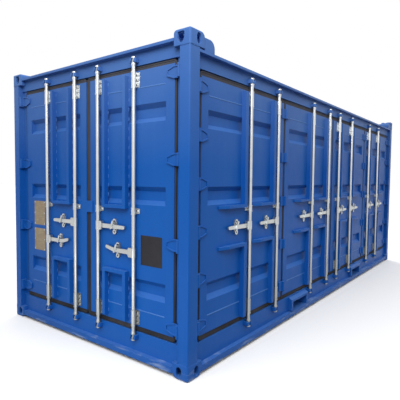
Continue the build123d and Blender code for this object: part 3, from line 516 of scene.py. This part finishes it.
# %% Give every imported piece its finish
finish_of_slot = {
    "blue_paint": sheet_paint,
    "painted_casting": casting_paint,
    "galvanised_steel": zinc,
    "seal_rubber": rubber,
    "plywood_floor": plywood,
}
slot_of_node = {name: piece.data.materials[0].name for name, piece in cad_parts.items()}
for name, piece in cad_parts.items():
    piece.data.materials[0] = finish_of_slot[slot_of_node[name]]
print({slot: list(slot_of_node.values()).count(slot) for slot in finish_of_slot})

# %% [markdown]
# ## Working on a face
# Most of what is bolted, riveted or welded on sits on one of the door faces. A face here is an origin
# and three directions: right, up and inwards, as somebody standing in front of it sees them. Places
# are then given as a reader would measure them: so far along, so far up, so deep behind the outermost
# surface.

# %% Faces of the container
HALF_LENGTH, HALF_WIDTH, HEIGHT = (high / MM for high in cad_high)
END = np.array([[-HALF_LENGTH, 0, 0], [0, -1, 0], [0, 0, 1], [1, 0, 0]])
SIDE = np.array([[0, -HALF_WIDTH, 0], [1, 0, 0], [0, 0, 1], [0, 1, 0]])


def on_face(face, places):
    """Points of a face: origin + along * right + up * up + depth * inwards, for an array of triples."""
    return face[0] + np.asarray(places, float) @ face[1:]


print("middle of the foot of the end doors, in mm:", on_face(END, (0, 0, 0)).round(1).tolist())

# %% [markdown]
# Every added piece is a set of grids: rows of points, where each row closes on itself like a ring.
# Neighbours in a grid are joined by quads, and rows that shrink to a point close the form at its
# ends. Blender's own primitives would do for a bolt, but a grid also makes a weld bead or a seal,
# with one function for all.

# %% Turn grids into a piece
SHARP_FROM = math.radians(40)
WELD_DISTANCE = 1e-6


def grid_quads(rows, columns):
    """Corners of the quads of one grid: (r, c), (r, c + 1), (r + 1, c + 1), (r + 1, c), closed round c."""
    row, column = np.mgrid[:rows - 1, :columns]
    after = (column + 1) % columns
    corners = [row * columns + column, row * columns + after]
    corners += [(row + 1) * columns + after, (row + 1) * columns + column]
    return np.stack(corners, -1).reshape(-1, 4)


def add_piece(name, grids, finish, body):
    """One mesh from grids of points in mm, shaped (rows, columns, 3), that rides on a body."""
    sizes = [grid.shape[0] * grid.shape[1] for grid in grids]
    firsts = np.cumsum([0, *sizes[:-1]])
    points = np.concatenate([grid.reshape(-1, 3) for grid in grids]) * MM
    quads = np.concatenate([grid_quads(*grid.shape[:2]) + first for grid, first in zip(grids, firsts)])
    mesh = bpy.data.meshes.new(name)
    mesh.from_pydata(points.tolist(), [], quads.tolist())
    merged = bmesh.new()
    merged.from_mesh(mesh)
    bmesh.ops.remove_doubles(merged, verts=merged.verts, dist=WELD_DISTANCE)
    merged.to_mesh(mesh)
    merged.free()
    mesh.polygons.foreach_set("use_smooth", [True] * len(mesh.polygons))
    mesh.set_sharp_from_angle(angle=SHARP_FROM)
    mesh.materials.append(finish)
    piece = bpy.data.objects.new(name, mesh)
    scene.collection.objects.link(piece)
    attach(piece, body)
    print(name, "on", body, "-", len(grids), "forms,", len(mesh.polygons), "faces")


print("a grid of 3 rows and 4 columns has", len(grid_quads(3, 4)), "quads")

# %% [markdown]
# ## Forms that stack up from an outline
# A bolt head, a rivet and a plate are all one outline seen from the front, scaled and raised row by
# row: out to its full size, up its wall, over its edge and in to a point in the middle. With a circle
# that is a dome, with a hexagon a bolt head, with a rounded rectangle a sheet-metal plate.

# %% Outlines and stacked forms
def polygon_outline(radius, corners, per_side):
    """Regular polygon: straight runs between the points radius * (cos t, sin t)."""
    turns = np.arange(corners + 1) * 2 * np.pi / corners
    tips = radius * np.stack([np.cos(turns), np.sin(turns)], -1)
    share = (np.arange(per_side) / per_side)[None, :, None]
    return (tips[:-1, None] * (1 - share) + tips[1:, None] * share).reshape(-1, 2)


def stacked(outline, profile):
    """Point (row, column) = (scale of the row * outline, rise of the row), from the back to the front."""
    scale, rise = np.array(profile, float).T
    flat = scale[:, None, None] * outline[None]
    return np.concatenate([flat, np.broadcast_to(rise[:, None, None], (*flat.shape[:2], 1))], -1)


def placed(face, form, centres):
    """Copies of a stacked form on a face, one at each centre of (along, up, depth)."""
    local = form * (1, 1, -1)
    return [on_face(face, local + np.array(centre)) for centre in centres]


BOLT_HEAD = stacked(
    polygon_outline(radius=11, corners=6, per_side=2),
    [(0, 0), (1.25, 0), (1.25, 2), (1, 2), (1, 8), (0.86, 9.5), (0, 9.5)],
)
print("a bolt head has", BOLT_HEAD.shape[0], "rows of", BOLT_HEAD.shape[1])

# %% [markdown]
# ## Bolts of the bar brackets
# Each long bracket is held by three bolts on either side of its bar, and each short clamp by one. The
# bars of the end doors ride with their leaf, so their bolts do too. All heads of a leaf are one mesh,
# because so many small objects would make the scene slow to work in.

# %% Bolt the brackets down
LEAF_FACE = 48
BRACKET_SHEET = 6
BOLT_ROW = 35
BOLT_STEP = 40
LONG_BRACKETS_END = (361, 2300)
LONG_BRACKETS_SIDE = (361, 2219)
CLAMP_LEVEL = 1244
END_BARS = (166, 619)
SIDE_BARS = (186, 707.5, 1601, 2133.5)


def bracket_bolts(bars, long_levels):
    """Bolt centres for bars at these places: two columns, three levels on long brackets, one on clamps."""
    levels = [middle + step for middle in long_levels for step in (-BOLT_STEP, 0, BOLT_STEP)]
    levels.append(CLAMP_LEVEL)
    along, up = np.meshgrid(np.add.outer(bars, (-BOLT_ROW, BOLT_ROW)).ravel(), levels)
    return np.stack([along.ravel(), up.ravel(), np.full(along.size, LEAF_FACE - BRACKET_SHEET)], -1)


for side, hand in ((-1, "left"), (1, "right")):
    heads = placed(END, BOLT_HEAD, bracket_bolts(np.array(END_BARS) * side, LONG_BRACKETS_END))
    add_piece(f"{hand}_end_bracket_bolts", heads, zinc, f"{hand}_end_door")
both_ways = np.concatenate([-np.array(SIDE_BARS)[::-1], SIDE_BARS])
heads = placed(SIDE, BOLT_HEAD, bracket_bolts(both_ways, LONG_BRACKETS_SIDE))
add_piece("side_bracket_bolts", heads, zinc, "frame")

# %% [markdown]
# ## Weld seams
# The pressed panel is welded into the frame of its leaf, the ribs onto the panel, and the posts onto
# the corner fittings. A bead is a low half-round drawn along its seam, uneven because a hand or a
# robot laid it in small steps. A curve with a bevel would be perfectly even, so a formula carries an
# ellipse along the line and lets its size breathe.

# %% Beads
BEAD_STEP = 11
BEAD_LEAST_STEPS = 6
BEAD_SMALLEST = 0.86
BEAD_SWING = 0.28
BEAD_RISE = 0.62
SECTION_POINTS = 8
SECTION_TURNS = np.arange(SECTION_POINTS) * 2 * np.pi / SECTION_POINTS
bead_draw = np.random.default_rng(7)


def bead(face, corners, half_width, out=None):
    """Ellipse carried along a run: p(s, t) = line(s) + size(s) * (across(s) * cos t + out * sin t)."""
    line = on_face(face, corners)
    reach = np.concatenate([[0], np.cumsum(np.linalg.norm(np.diff(line, axis=0), axis=1))])
    steps = np.linspace(0, reach[-1], max(BEAD_LEAST_STEPS, int(reach[-1] / BEAD_STEP)))
    path = np.stack([np.interp(steps, reach, line[:, axis]) for axis in range(3)], -1)
    run = np.gradient(path, axis=0)
    run = run / np.linalg.norm(run, axis=1, keepdims=True)
    out = -face[3] if out is None else out
    across = np.cross(out, run)
    size = half_width * (BEAD_SMALLEST + BEAD_SWING * bead_draw.random(len(steps)))
    size[[0, -1]] = 0
    section = np.cos(SECTION_TURNS)[:, None] * across[:, None]
    section = section + BEAD_RISE * np.sin(SECTION_TURNS)[:, None] * out
    return path[:, None] + size[:, None, None] * section


def level_bead(face, left, right, up, depth, half_width):
    """A bead that runs level from left to right."""
    return bead(face, [(left, up, depth), (right, up, depth)], half_width)


def upright_bead(face, along, low, high, depth, half_width):
    """A bead that runs from low to high."""
    return bead(face, [(along, low, depth), (along, high, depth)], half_width)


print("a bead changes its size every", BEAD_STEP, "mm and has", SECTION_POINTS, "points round")

# %% [markdown]
# The seams follow the leaf's build: stiles 88 mm wide, rails 138 mm tall. The level joints of the
# panel show a bead; the upright ones are ground flush, so that nothing catches on them. The ribs only
# carry short stitches, because a full bead would warp the thin sheet. Places could be typed in one by
# one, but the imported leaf's own box gives them for every leaf alike.

# %% Set out the seams of a leaf
STILE = 88
LEAF_RAIL = 138
LEAF_BEAD = 5
STITCH_START = 20
STITCH_LENGTH = 34
STITCH_PITCH = 78


def leaf_box(name, face):
    """Left, right, low and high edge of a node in mm, as seen from in front of a face."""
    corners = (np.array(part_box(name)) / MM - face[0]) @ face[1:].T
    left, right = sorted(corners[:, 0])
    return left, right, corners[0, 1], corners[1, 1]


def panel_seams(name, face):
    """Beads along the level joints of one leaf, between its panel and its rails."""
    left, right, low, high = leaf_box(name, face)
    joints = (low + LEAF_RAIL, high - LEAF_RAIL)
    return [level_bead(face, left + STILE, right - STILE, up, LEAF_FACE, LEAF_BEAD) for up in joints]


def stitches(face, along, low, high):
    """Short upright beads at an even pitch along one edge of a rib."""
    starts = np.arange(low + STITCH_START, high - STITCH_LENGTH, STITCH_PITCH)
    ends = starts + STITCH_LENGTH
    return [upright_bead(face, along, *run, LEAF_FACE, LEAF_BEAD) for run in zip(starts, ends)]


print("left end leaf, in mm:", [round(edge) for edge in leaf_box("left_end_leaf", END)])

# %% [markdown]
# Each end leaf carries upright ribs in a lower and an upper length, stitched along both edges. The
# beads of a leaf are one mesh, so that they move as one piece with it. The folding leaves stay
# closed, so their beads go on the frame together.

# %% Weld the leaves
END_RIBS = (240, 274, 500, 534)
END_RIB_ENDS = ((316, 733), (1258, 2345))
SIDE_LEAVES = (1, 2, 3, 4)

for side, hand in ((-1, "left"), (1, "right")):
    beads = panel_seams(f"{hand}_end_leaf", END)
    for along in END_RIBS:
        for low, high in END_RIB_ENDS:
            beads += stitches(END, side * along, low, high)
    add_piece(f"{hand}_end_welds", beads, bead_paint, f"{hand}_end_door")

beads = []
for number in SIDE_LEAVES:
    beads += panel_seams(f"side_leaf_{number}", SIDE)
add_piece("side_welds", beads, bead_paint, "frame")

# %% [markdown]
# Posts stand on the corner fittings with a heavy bead round their foot and their head, and the beams
# end against the fittings in the same way. The corrugated side wall is welded to the rail under it:
# that bead zigzags with the sheet, so its run is the formula of the corrugation itself.

# %% Weld the frame
CLOSED = np.array([[0, HALF_WIDTH, 0], [-1, 0, 0], [0, 0, 1], [0, -1, 0]])
FRONT = np.array([[HALF_LENGTH, 0, 0], [0, 1, 0], [0, 0, 1], [-1, 0, 0]])
FITTING_HEIGHT = 118
POST_SEAM = 5
FRAME_BEAD = 7
BEAM_FOOT = (30, 76)
WALL_HALF = 2851
WALL_DEPTH = 12
WALL_FOOT = 240
WALL_WAVES = 21
WALL_WAVE = 36
WALL_BEAD = 6
WAVE_CREST = 0.26
WAVE_SLOPE = 0.24
# From the middle of a face: inner and outer edge of a post, and the place where the beam meets the fitting.
END_POST = (1119, 1208, 1057)
SIDE_POST = (2913, 3018, WALL_HALF)
POST_EDGES = ((END, *END_POST), (FRONT, *END_POST), (SIDE, *SIDE_POST), (CLOSED, *SIDE_POST))


def corrugation(start, end, count, wave):
    """Corners along a sheet and their offsets: crest, slope in, trough and slope out, count times over."""
    step = (end - start) / count
    starts = start + step * np.arange(count)[:, None]
    shares = np.cumsum([0, WAVE_CREST, WAVE_SLOPE, WAVE_CREST])
    along = np.append((starts + step * shares).ravel(), end)
    return along, np.append(np.tile([0, 0, wave, wave], count), 0)


beads = []
for face, inner, outer, beam_end in POST_EDGES:
    for side in (-1, 1):
        for up in (FITTING_HEIGHT, HEIGHT - FITTING_HEIGHT):
            beads.append(level_bead(face, side * inner, side * outer, up, POST_SEAM, FRAME_BEAD))
        beads.append(upright_bead(face, side * beam_end, *BEAM_FOOT, POST_SEAM, FRAME_BEAD))
along, offset = corrugation(-WALL_HALF, WALL_HALF, WALL_WAVES, WALL_WAVE)
foot_run = np.stack([along, np.full(along.size, WALL_FOOT), WALL_DEPTH + offset], -1)
beads.append(bead(CLOSED, foot_run, WALL_BEAD, out=np.array([0, 0, 1.0])))
add_piece("frame_welds", beads, casting_paint, "frame")

# %% [markdown]
# Corrugated sheet leaves openings at its edges. A flat ledge closes the foot of the side wall, which
# stands out in front of its rail, and a low strip cut to the waves closes each long edge of the roof.
# A builder would cut both from flat bar, so both are bars along X, given as a row of section corners
# at each step.

# %% Close the edges of the corrugated sheets
LEDGE_EDGES = (1211, 1173)
LEDGE_SHEET = 5
ROOF_BASE = 2540
ROOF_ENDS = (-2949, 3009)
ROOF_WAVES = 29
ROOF_WAVE = 20
ROOF_EDGES = ((1199, 1195), (-965, -969))
LAP = 2


def bar_along_x(x, y_outer, y_inner, low, high):
    """Section (outer, low), (outer, high), (inner, high), (inner, low) at every x, with closed ends."""
    corners = ((y_outer, low), (y_outer, high), (y_inner, high), (y_inner, low))
    rings = np.stack([np.stack(np.broadcast_arrays(x, y, z), -1) for y, z in corners], 1)
    ends = np.broadcast_to(rings[[0, -1]].mean(axis=1, keepdims=True), (2, 4, 3))
    return np.concatenate([ends[:1], rings, ends[1:]])


ledge_ends = np.array([-WALL_HALF, WALL_HALF], float)
ledge = bar_along_x(ledge_ends, *LEDGE_EDGES, WALL_FOOT - LEDGE_SHEET, WALL_FOOT)
along, rise = corrugation(*ROOF_ENDS, ROOF_WAVES, ROOF_WAVE)
closers = [bar_along_x(along, *edge, ROOF_BASE - LAP, ROOF_BASE + LAP + rise) for edge in ROOF_EDGES]
add_piece("sheet_closers", [ledge, *closers], sheet_paint, "frame")

# %% [markdown]
# ## Plates on the end doors
# Two small identification plates of etched bronze-coloured metal are riveted to the left leaf. They
# carry no marks here: only the sheet, its rivets and its wear. An even metal would look new, so level
# brushing and brown stains lie over each other. Real brushing is finer than a millimetre; it is drawn
# 7 mm tall, so that it still shows as level lines.

# %% Finish of the plates
BRUSH_LONG = 60
BRUSH_TALL = 7
STAIN = 70


def etched_plate():
    """Etched and lacquered bronze sheet: level brushing, brown stains, almost no mirror left."""
    material, tree, place = new_material("etched_lacquered_bronze")
    brushed = node(tree, "Mapping", {
        "Vector": place, "Scale": (per_mm(BRUSH_LONG), per_mm(BRUSH_LONG), per_mm(BRUSH_TALL)),
    })
    lines = node(tree, "TexNoise", {"Vector": brushed.outputs["Vector"], "Scale": 1.0, "Detail": 5.0})
    stain = node(tree, "TexNoise", {
        "Vector": place, "Scale": per_mm(STAIN), "Detail": 6.0, "Roughness": 0.65,
    })
    base = node(tree, "MixRGB", {
        "Fac": lines.outputs["Fac"], "Color1": linear("#6F664E"), "Color2": linear("#B0A183"),
    })
    share = node(tree, "MapRange", {
        "Value": stain.outputs["Fac"], "From Min": 0.42, "From Max": 0.68, "To Max": 0.7,
    })
    colour = node(tree, "MixRGB", {
        "Fac": share.outputs["Result"], "Color1": base.outputs["Color"], "Color2": linear("#8C7663"),
    })
    relief = node(tree, "Bump", {"Height": lines.outputs["Fac"], "Distance": 0.4 * MM, "Strength": 0.5})
    close_material(
        tree, Base_Color=colour.outputs["Color"], Metallic=0.25, Roughness=0.55,
        Normal=relief.outputs["Normal"],
    )
    return material


bronze = etched_plate()
print(bronze.name, "with brushing of", BRUSH_LONG, "by", BRUSH_TALL, "mm")

# %% [markdown]
# A square of matt black vinyl film is stuck to the right leaf. A flat black would look like a hole in
# the door, so a faint drift of dust keeps it a surface.

# %% Finish of the film
FILM_DUST = 90


def black_film():
    """Matt black vinyl film: near black, faintly dusty, almost no gloss."""
    material, tree, place = new_material("matt_black_vinyl_film")
    dust = node(tree, "TexNoise", {"Vector": place, "Scale": per_mm(FILM_DUST), "Detail": 6.0})
    colour = node(tree, "MixRGB", {
        "Fac": dust.outputs["Fac"], "Color1": linear("#1F1F23"), "Color2": linear("#2C2C31"),
    })
    close_material(tree, Base_Color=colour.outputs["Color"], Roughness=0.6, Specular_IOR_Level=0.2)
    return material


film = black_film()
print(film.name, "has", len(film.node_tree.nodes), "nodes")

# %% [markdown]
# A plate is a rounded rectangle with its edge rolled over a little, and a blind rivet is a low dome.
# Both are stacked forms again. A plate that was cut as a plain box would show a hard bright edge all
# round, which sheet of this thickness doesn't have.

# %% Rivet and stick the plates
PLATE_SHEET = 2.5
PLATE_CORNER = 6
FILM_SHEET = 1.2
FILM_CORNER = 4
RIVET_ACROSS = (-0.44, 0.44)
RIVET_RISES = (-0.45, 0, 0.45)
# Middle along and up, width and height.
PLATES = ((-806.5, 1144.5, 197, 247), (-806.5, 872, 197, 228))
FILM_SQUARE = (794.5, 929, 237, 244)
RIVET = stacked(
    polygon_outline(radius=7, corners=10, per_side=1),
    [(0, 0), (1, 0), (0.94, 2.2), (0.7, 4), (0.36, 5), (0, 5.3)],
)


def rounded_outline(width, height, radius, per_corner):
    """Rounded rectangle: four quarter circles, corner + radius * (cos t, sin t), and straight runs."""
    turns = np.linspace(0, np.pi / 2, per_corner)[None, :] + np.arange(4)[:, None] * np.pi / 2
    signs = np.array([[1, 1], [-1, 1], [-1, -1], [1, -1]])
    middles = signs * (np.array([width, height]) / 2 - radius)
    ring = middles[:, None] + radius * np.stack([np.cos(turns), np.sin(turns)], -1)
    return ring.reshape(-1, 2)


def sheet_plate(width, height, radius, thickness):
    """Rounded rectangle with a rolled edge: out to full size, up, over the edge and in to the middle."""
    edge = 1 - 2 * thickness / min(width, height)
    profile = [(0, 0), (1, 0), (1, 0.6 * thickness), (edge, thickness), (0.5, thickness), (0, thickness)]
    return stacked(rounded_outline(width, height, radius, per_corner=5), profile)


plates = []
rivet_places = []
for along, up, wide, tall in PLATES:
    plates += placed(END, sheet_plate(wide, tall, PLATE_CORNER, PLATE_SHEET), [(along, up, LEAF_FACE)])
    for across in RIVET_ACROSS:
        for rise in RIVET_RISES:
            rivet_places.append((along + across * wide, up + rise * tall, LEAF_FACE - PLATE_SHEET))
rivets = placed(END, RIVET, rivet_places)
add_piece("left_end_plates", plates, bronze, "left_end_door")
add_piece("left_end_plate_rivets", rivets, zinc, "left_end_door")
along, up, wide, tall = FILM_SQUARE
square = placed(END, sheet_plate(wide, tall, FILM_CORNER, FILM_SHEET), [(along, up, LEAF_FACE)])
add_piece("right_end_film", square, film, "right_end_door")

# %% [markdown]
# ## Bolts of the handles
# Every handle is clamped to its bar by two domed bolts in its hub, above and below the arm. On the
# end doors they turn with their bar, so each pair is a piece of its own on that bar's body. The
# folding doors have no joint here, so all their bolts are one piece on the frame.

# %% Bolt the handle hubs
HUB_FRONT = 8
HUB_BOLT_ALONG = 42
HUB_BOLT_RISE = 29
HUB_LEVELS = {"inner": 1098, "outer": 900, "side": 1102}


def hub_bolts(face, along, towards, up):
    """Two domes on the front of a hub, above and below its arm."""
    place = along + towards * HUB_BOLT_ALONG
    return placed(face, RIVET, [(place, up + rise, HUB_FRONT) for rise in (-HUB_BOLT_RISE, HUB_BOLT_RISE)])


for side, hand in ((-1, "left"), (1, "right")):
    for along, towards, which in ((END_BARS[0], 1, "inner"), (END_BARS[1], -1, "outer")):
        domes = hub_bolts(END, side * along, side * towards, HUB_LEVELS[which])
        add_piece(f"{hand}_{which}_hub_bolts", domes, zinc, f"{hand}_{which}_bar")
domes = []
for along in both_ways:
    domes += hub_bolts(SIDE, along, np.sign(along), HUB_LEVELS["side"])
add_piece("side_hub_bolts", domes, zinc, "frame")

# %% [markdown]
# ## Lips of the seals
# The door seals have a raised lip just inside their outer edge, which is what closes against the
# frame. It could be a curve with a round bevel. Here it is a ring of ellipses round a rounded
# rectangle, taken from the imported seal's own box, so that its width and its rise can be set apart.

# %% Raise the lips of the seals
SEAL_FACE = 54
SEAL_CORNER = 34
LIP_INSET = 8
LIP_HALF = 4
LIP_RISE = 4
LIP_CORNER_POINTS = 7


def seal_lip(face, left, right, low, high):
    """Ellipses round a rounded rectangle: p(s, t) = outline(s) + normal(s) * cos t, raised by sin t."""
    wide = right - left - 2 * LIP_INSET
    tall = high - low - 2 * LIP_INSET
    outer, inner = (
        rounded_outline(
            wide + 2 * grow, tall + 2 * grow, SEAL_CORNER - LIP_INSET + grow, LIP_CORNER_POINTS,
        )
        for grow in (LIP_HALF, -LIP_HALF)
    )
    centre = np.array([(left + right) / 2, (low + high) / 2])
    swing = np.cos(SECTION_TURNS)[:, None] * (outer - inner)[:, None] / 2
    flat = centre + (outer + inner)[:, None] / 2 + swing
    depth = SEAL_FACE + LIP_RISE * np.sin(SECTION_TURNS)[:, None]
    ring = np.concatenate([flat, np.broadcast_to(depth, (*flat.shape[:2], 1))], -1)
    return on_face(face, np.concatenate([ring, ring[:1]]))


for hand in ("left", "right"):
    lip = seal_lip(END, *leaf_box(f"{hand}_end_seal", END))
    add_piece(f"{hand}_end_seal_lip", [lip], rubber, f"{hand}_end_door")
lip = seal_lip(SIDE, *leaf_box("side_seals", SIDE))
add_piece("side_seal_lip", [lip], rubber, "frame")

# %% [markdown]
# ## Strips behind the seals
# On the back of an end leaf the seal is held by flat zinc strips with a row of rivets. They only show
# when a door stands open. A strip is the same form as a plate, drawn out long, and the rivets stand
# at one pitch from the lower left, as somebody with a drill would set them out.

# %% Strip and rivet the backs of the end leaves
LEAF_BACK = 98
INSIDE_END = np.array([[LEAF_BACK - HALF_LENGTH, 0, 0], [0, 1, 0], [0, 0, 1], [-1, 0, 0]])
STRIP_WIDTH = 28
STRIP_SHEET = 3
STRIP_CORNER = 3
STRIP_INSET = 30
STRIP_GAP = 4
RIVET_PITCH = 150
# Room that the rivets keep at the start and at the end of a strip.
UPRIGHT_ROOM = (90, 60)
LEVEL_ROOM = (110, 80)


def rivet_row(low, high, room):
    """Places at one pitch, from the first room to the last."""
    return np.arange(low + room[0], high - room[1], RIVET_PITCH)


for hand in ("left", "right"):
    left, right, low, high = leaf_box(f"{hand}_end_leaf", INSIDE_END)
    upright = sheet_plate(STRIP_WIDTH, high - low - 2 * STRIP_INSET, STRIP_CORNER, STRIP_SHEET)
    level_length = right - left - 2 * STRIP_INSET - STRIP_WIDTH - STRIP_GAP
    level = sheet_plate(level_length, STRIP_WIDTH, STRIP_CORNER, STRIP_SHEET)
    strips = []
    rivet_places = []
    for along in (left + STRIP_INSET, right - STRIP_INSET):
        strips += placed(INSIDE_END, upright, [(along, (low + high) / 2, 0)])
        rivet_places += [(along, up, -STRIP_SHEET) for up in rivet_row(low, high, UPRIGHT_ROOM)]
    for up in (low + STRIP_INSET, high - STRIP_INSET):
        strips += placed(INSIDE_END, level, [((left + right) / 2, up, 0)])
        rivet_places += [(along, up, -STRIP_SHEET) for along in rivet_row(left, right, LEVEL_ROOM)]
    strips += placed(INSIDE_END, RIVET, rivet_places)
    add_piece(f"{hand}_end_seal_strips", strips, zinc, f"{hand}_end_door")

# %% [markdown]
# ## Screws of the floor
# The plywood is screwed down to the cross members under it, so the screws stand in rows across the
# box, about as far apart as the members are. A texture could draw them, but real heads catch the
# light when the doors stand open. A head is a shallow cup that starts below the surface, so that no
# gap shows round it.

# %% Screw the floor down
DECK = np.array([[0, 0, 0], [1, 0, 0], [0, 1, 0], [0, 0, -1]])
FLOOR_TOP = 223
SCREW_PITCH_LONG = 300
SCREW_PITCH_ACROSS = 246
SCREWS_LONG = np.arange(-9, 10)
SCREWS_ACROSS = np.arange(-4, 5)
SCREW = stacked(
    polygon_outline(radius=8, corners=10, per_side=1),
    [(0, -3), (1, -3), (1, 0.4), (0.8, 0.9), (0, 0.6)],
)

along, across = np.meshgrid(SCREWS_LONG * SCREW_PITCH_LONG, SCREWS_ACROSS * SCREW_PITCH_ACROSS)
screw_places = np.stack([along.ravel(), across.ravel(), np.full(along.size, -FLOOR_TOP)], -1)
add_piece("floor_screws", placed(DECK, SCREW, screw_places), zinc, "frame")

# %% [markdown]
# ## The studio floor
# The object stands on a wide pale floor. It is white to the camera and to reflections, and a mid grey
# to bounced light, because white bounce would wash out the dark undersides that give the beams their
# depth. It lies half a millimetre low, so that it doesn't share a plane with the feet of the
# fittings.

# %% Lay the studio floor
FLOOR_HALF = 60.0
FLOOR_LEVEL = -0.0005


def seen_directly(tree):
    """1 where a ray comes from the camera, a reflection or glass, and 0 for bounced light."""
    path = node(tree, "LightPath")
    shown = node(tree, "Math", {
        0: path.outputs["Is Camera Ray"], 1: path.outputs["Is Glossy Ray"],
    }, operation="MAXIMUM")
    return node(tree, "Math", {
        0: shown.outputs["Value"], 1: path.outputs["Is Transmission Ray"],
    }, operation="MAXIMUM").outputs["Value"]


floor_mesh = bpy.data.meshes.new("studio_floor")
floor_corners = np.array([(-1, -1, 0), (1, -1, 0), (1, 1, 0), (-1, 1, 0)]) * FLOOR_HALF
floor_mesh.from_pydata((floor_corners + (0, 0, FLOOR_LEVEL)).tolist(), [], [(0, 1, 2, 3)])
floor_material, floor_tree, _ = new_material("pale_studio_floor")
floor_colour = node(floor_tree, "MixRGB", {
    "Fac": seen_directly(floor_tree), "Color1": linear("#5A5A5A"), "Color2": linear("#FAFAFA"),
})
floor_shader = node(floor_tree, "BsdfDiffuse", {"Color": floor_colour.outputs["Color"]})
node(floor_tree, "OutputMaterial", {"Surface": floor_shader.outputs[0]})
floor_mesh.materials.append(floor_material)
floor = bpy.data.objects.new("studio_floor", floor_mesh)
scene.collection.objects.link(floor)
print("floor of", 2 * FLOOR_HALF, "m")

# %% [markdown]
# ## The studio sky
# The photograph's background is plain white, so the sky is white where it is seen. As light it is
# brighter overhead than at the horizon, which keeps tops brighter than upright faces and undersides
# dark, as in open air. A picture of a real sky would bring its own colours and reflections along.

# %% Light the sky
HORIZON_LIGHT = 0.35
OVERHEAD_LIGHT = 1.38

world = bpy.data.worlds.new("studio_sky")
scene.world = world
world.use_nodes = True
sky_tree = world.node_tree
sky_tree.nodes.clear()
direction = node(sky_tree, "TexCoord").outputs["Generated"]
upward = node(sky_tree, "SeparateXYZ", {"Vector": direction}).outputs["Z"]
dome = node(sky_tree, "MapRange", {
    "Value": upward, "From Min": -0.1, "From Max": 0.9, "To Min": HORIZON_LIGHT, "To Max": OVERHEAD_LIGHT,
})
strength = node(sky_tree, "Mix", {"Factor": seen_directly(sky_tree), "A": dome.outputs["Result"], "B": 1.0})
sky = node(sky_tree, "Background", {"Color": linear("#FFFFFF"), "Strength": strength.outputs["Result"]})
node(sky_tree, "OutputWorld", {"Surface": sky.outputs[0]})
print("sky of", len(sky_tree.nodes), "nodes")

# %% [markdown]
# ## The lamps
# A large lamp high above the camera, aimed at the top of the near corner, lights both sets of doors.
# One at the far corner rakes along the corrugated walls that the camera doesn't see. A small one low
# down stands for the bright ground in front of the sill. A sun lamp would give hard shadows that the
# photograph doesn't have, so all three are area lamps.

# %% Hang the lamps
# Name, place and target in metres, side of the square in metres, power in watts.
LAMPS = (
    ("key_lamp", (-5.9, -3.0, 4.5), (-3.0, -1.2, 2.2), 2.6, 158),
    ("far_lamp", (7.5, 4.0, 4.5), (1.0, 1.2, 1.2), 2.5, 320),
    ("low_fill", (-4.4, -0.8, 0.25), (-3.03, -0.8, 0.15), 0.8, 8),
)


def hang_lamp(name, place, target, size, watts):
    """A square area lamp at one place that looks at another along its own -Z axis."""
    light = bpy.data.lights.new(name, "AREA")
    light.size = size
    light.energy = watts
    towards = np.array(target) - np.array(place)
    z_axis = -towards / np.linalg.norm(towards)
    x_axis = np.cross((0.0, 0.0, 1.0), z_axis)
    x_axis = x_axis / np.linalg.norm(x_axis)
    turn = np.eye(4)
    turn[:3, 0] = x_axis
    turn[:3, 1] = np.cross(z_axis, x_axis)
    turn[:3, 2] = z_axis
    turn[:3, 3] = place
    lamp = bpy.data.objects.new(name, light)
    lamp.matrix_world = Matrix(turn.tolist())
    scene.collection.objects.link(lamp)


for lamp_facts in LAMPS:
    hang_lamp(*lamp_facts)
scene.view_settings.view_transform = "Standard"
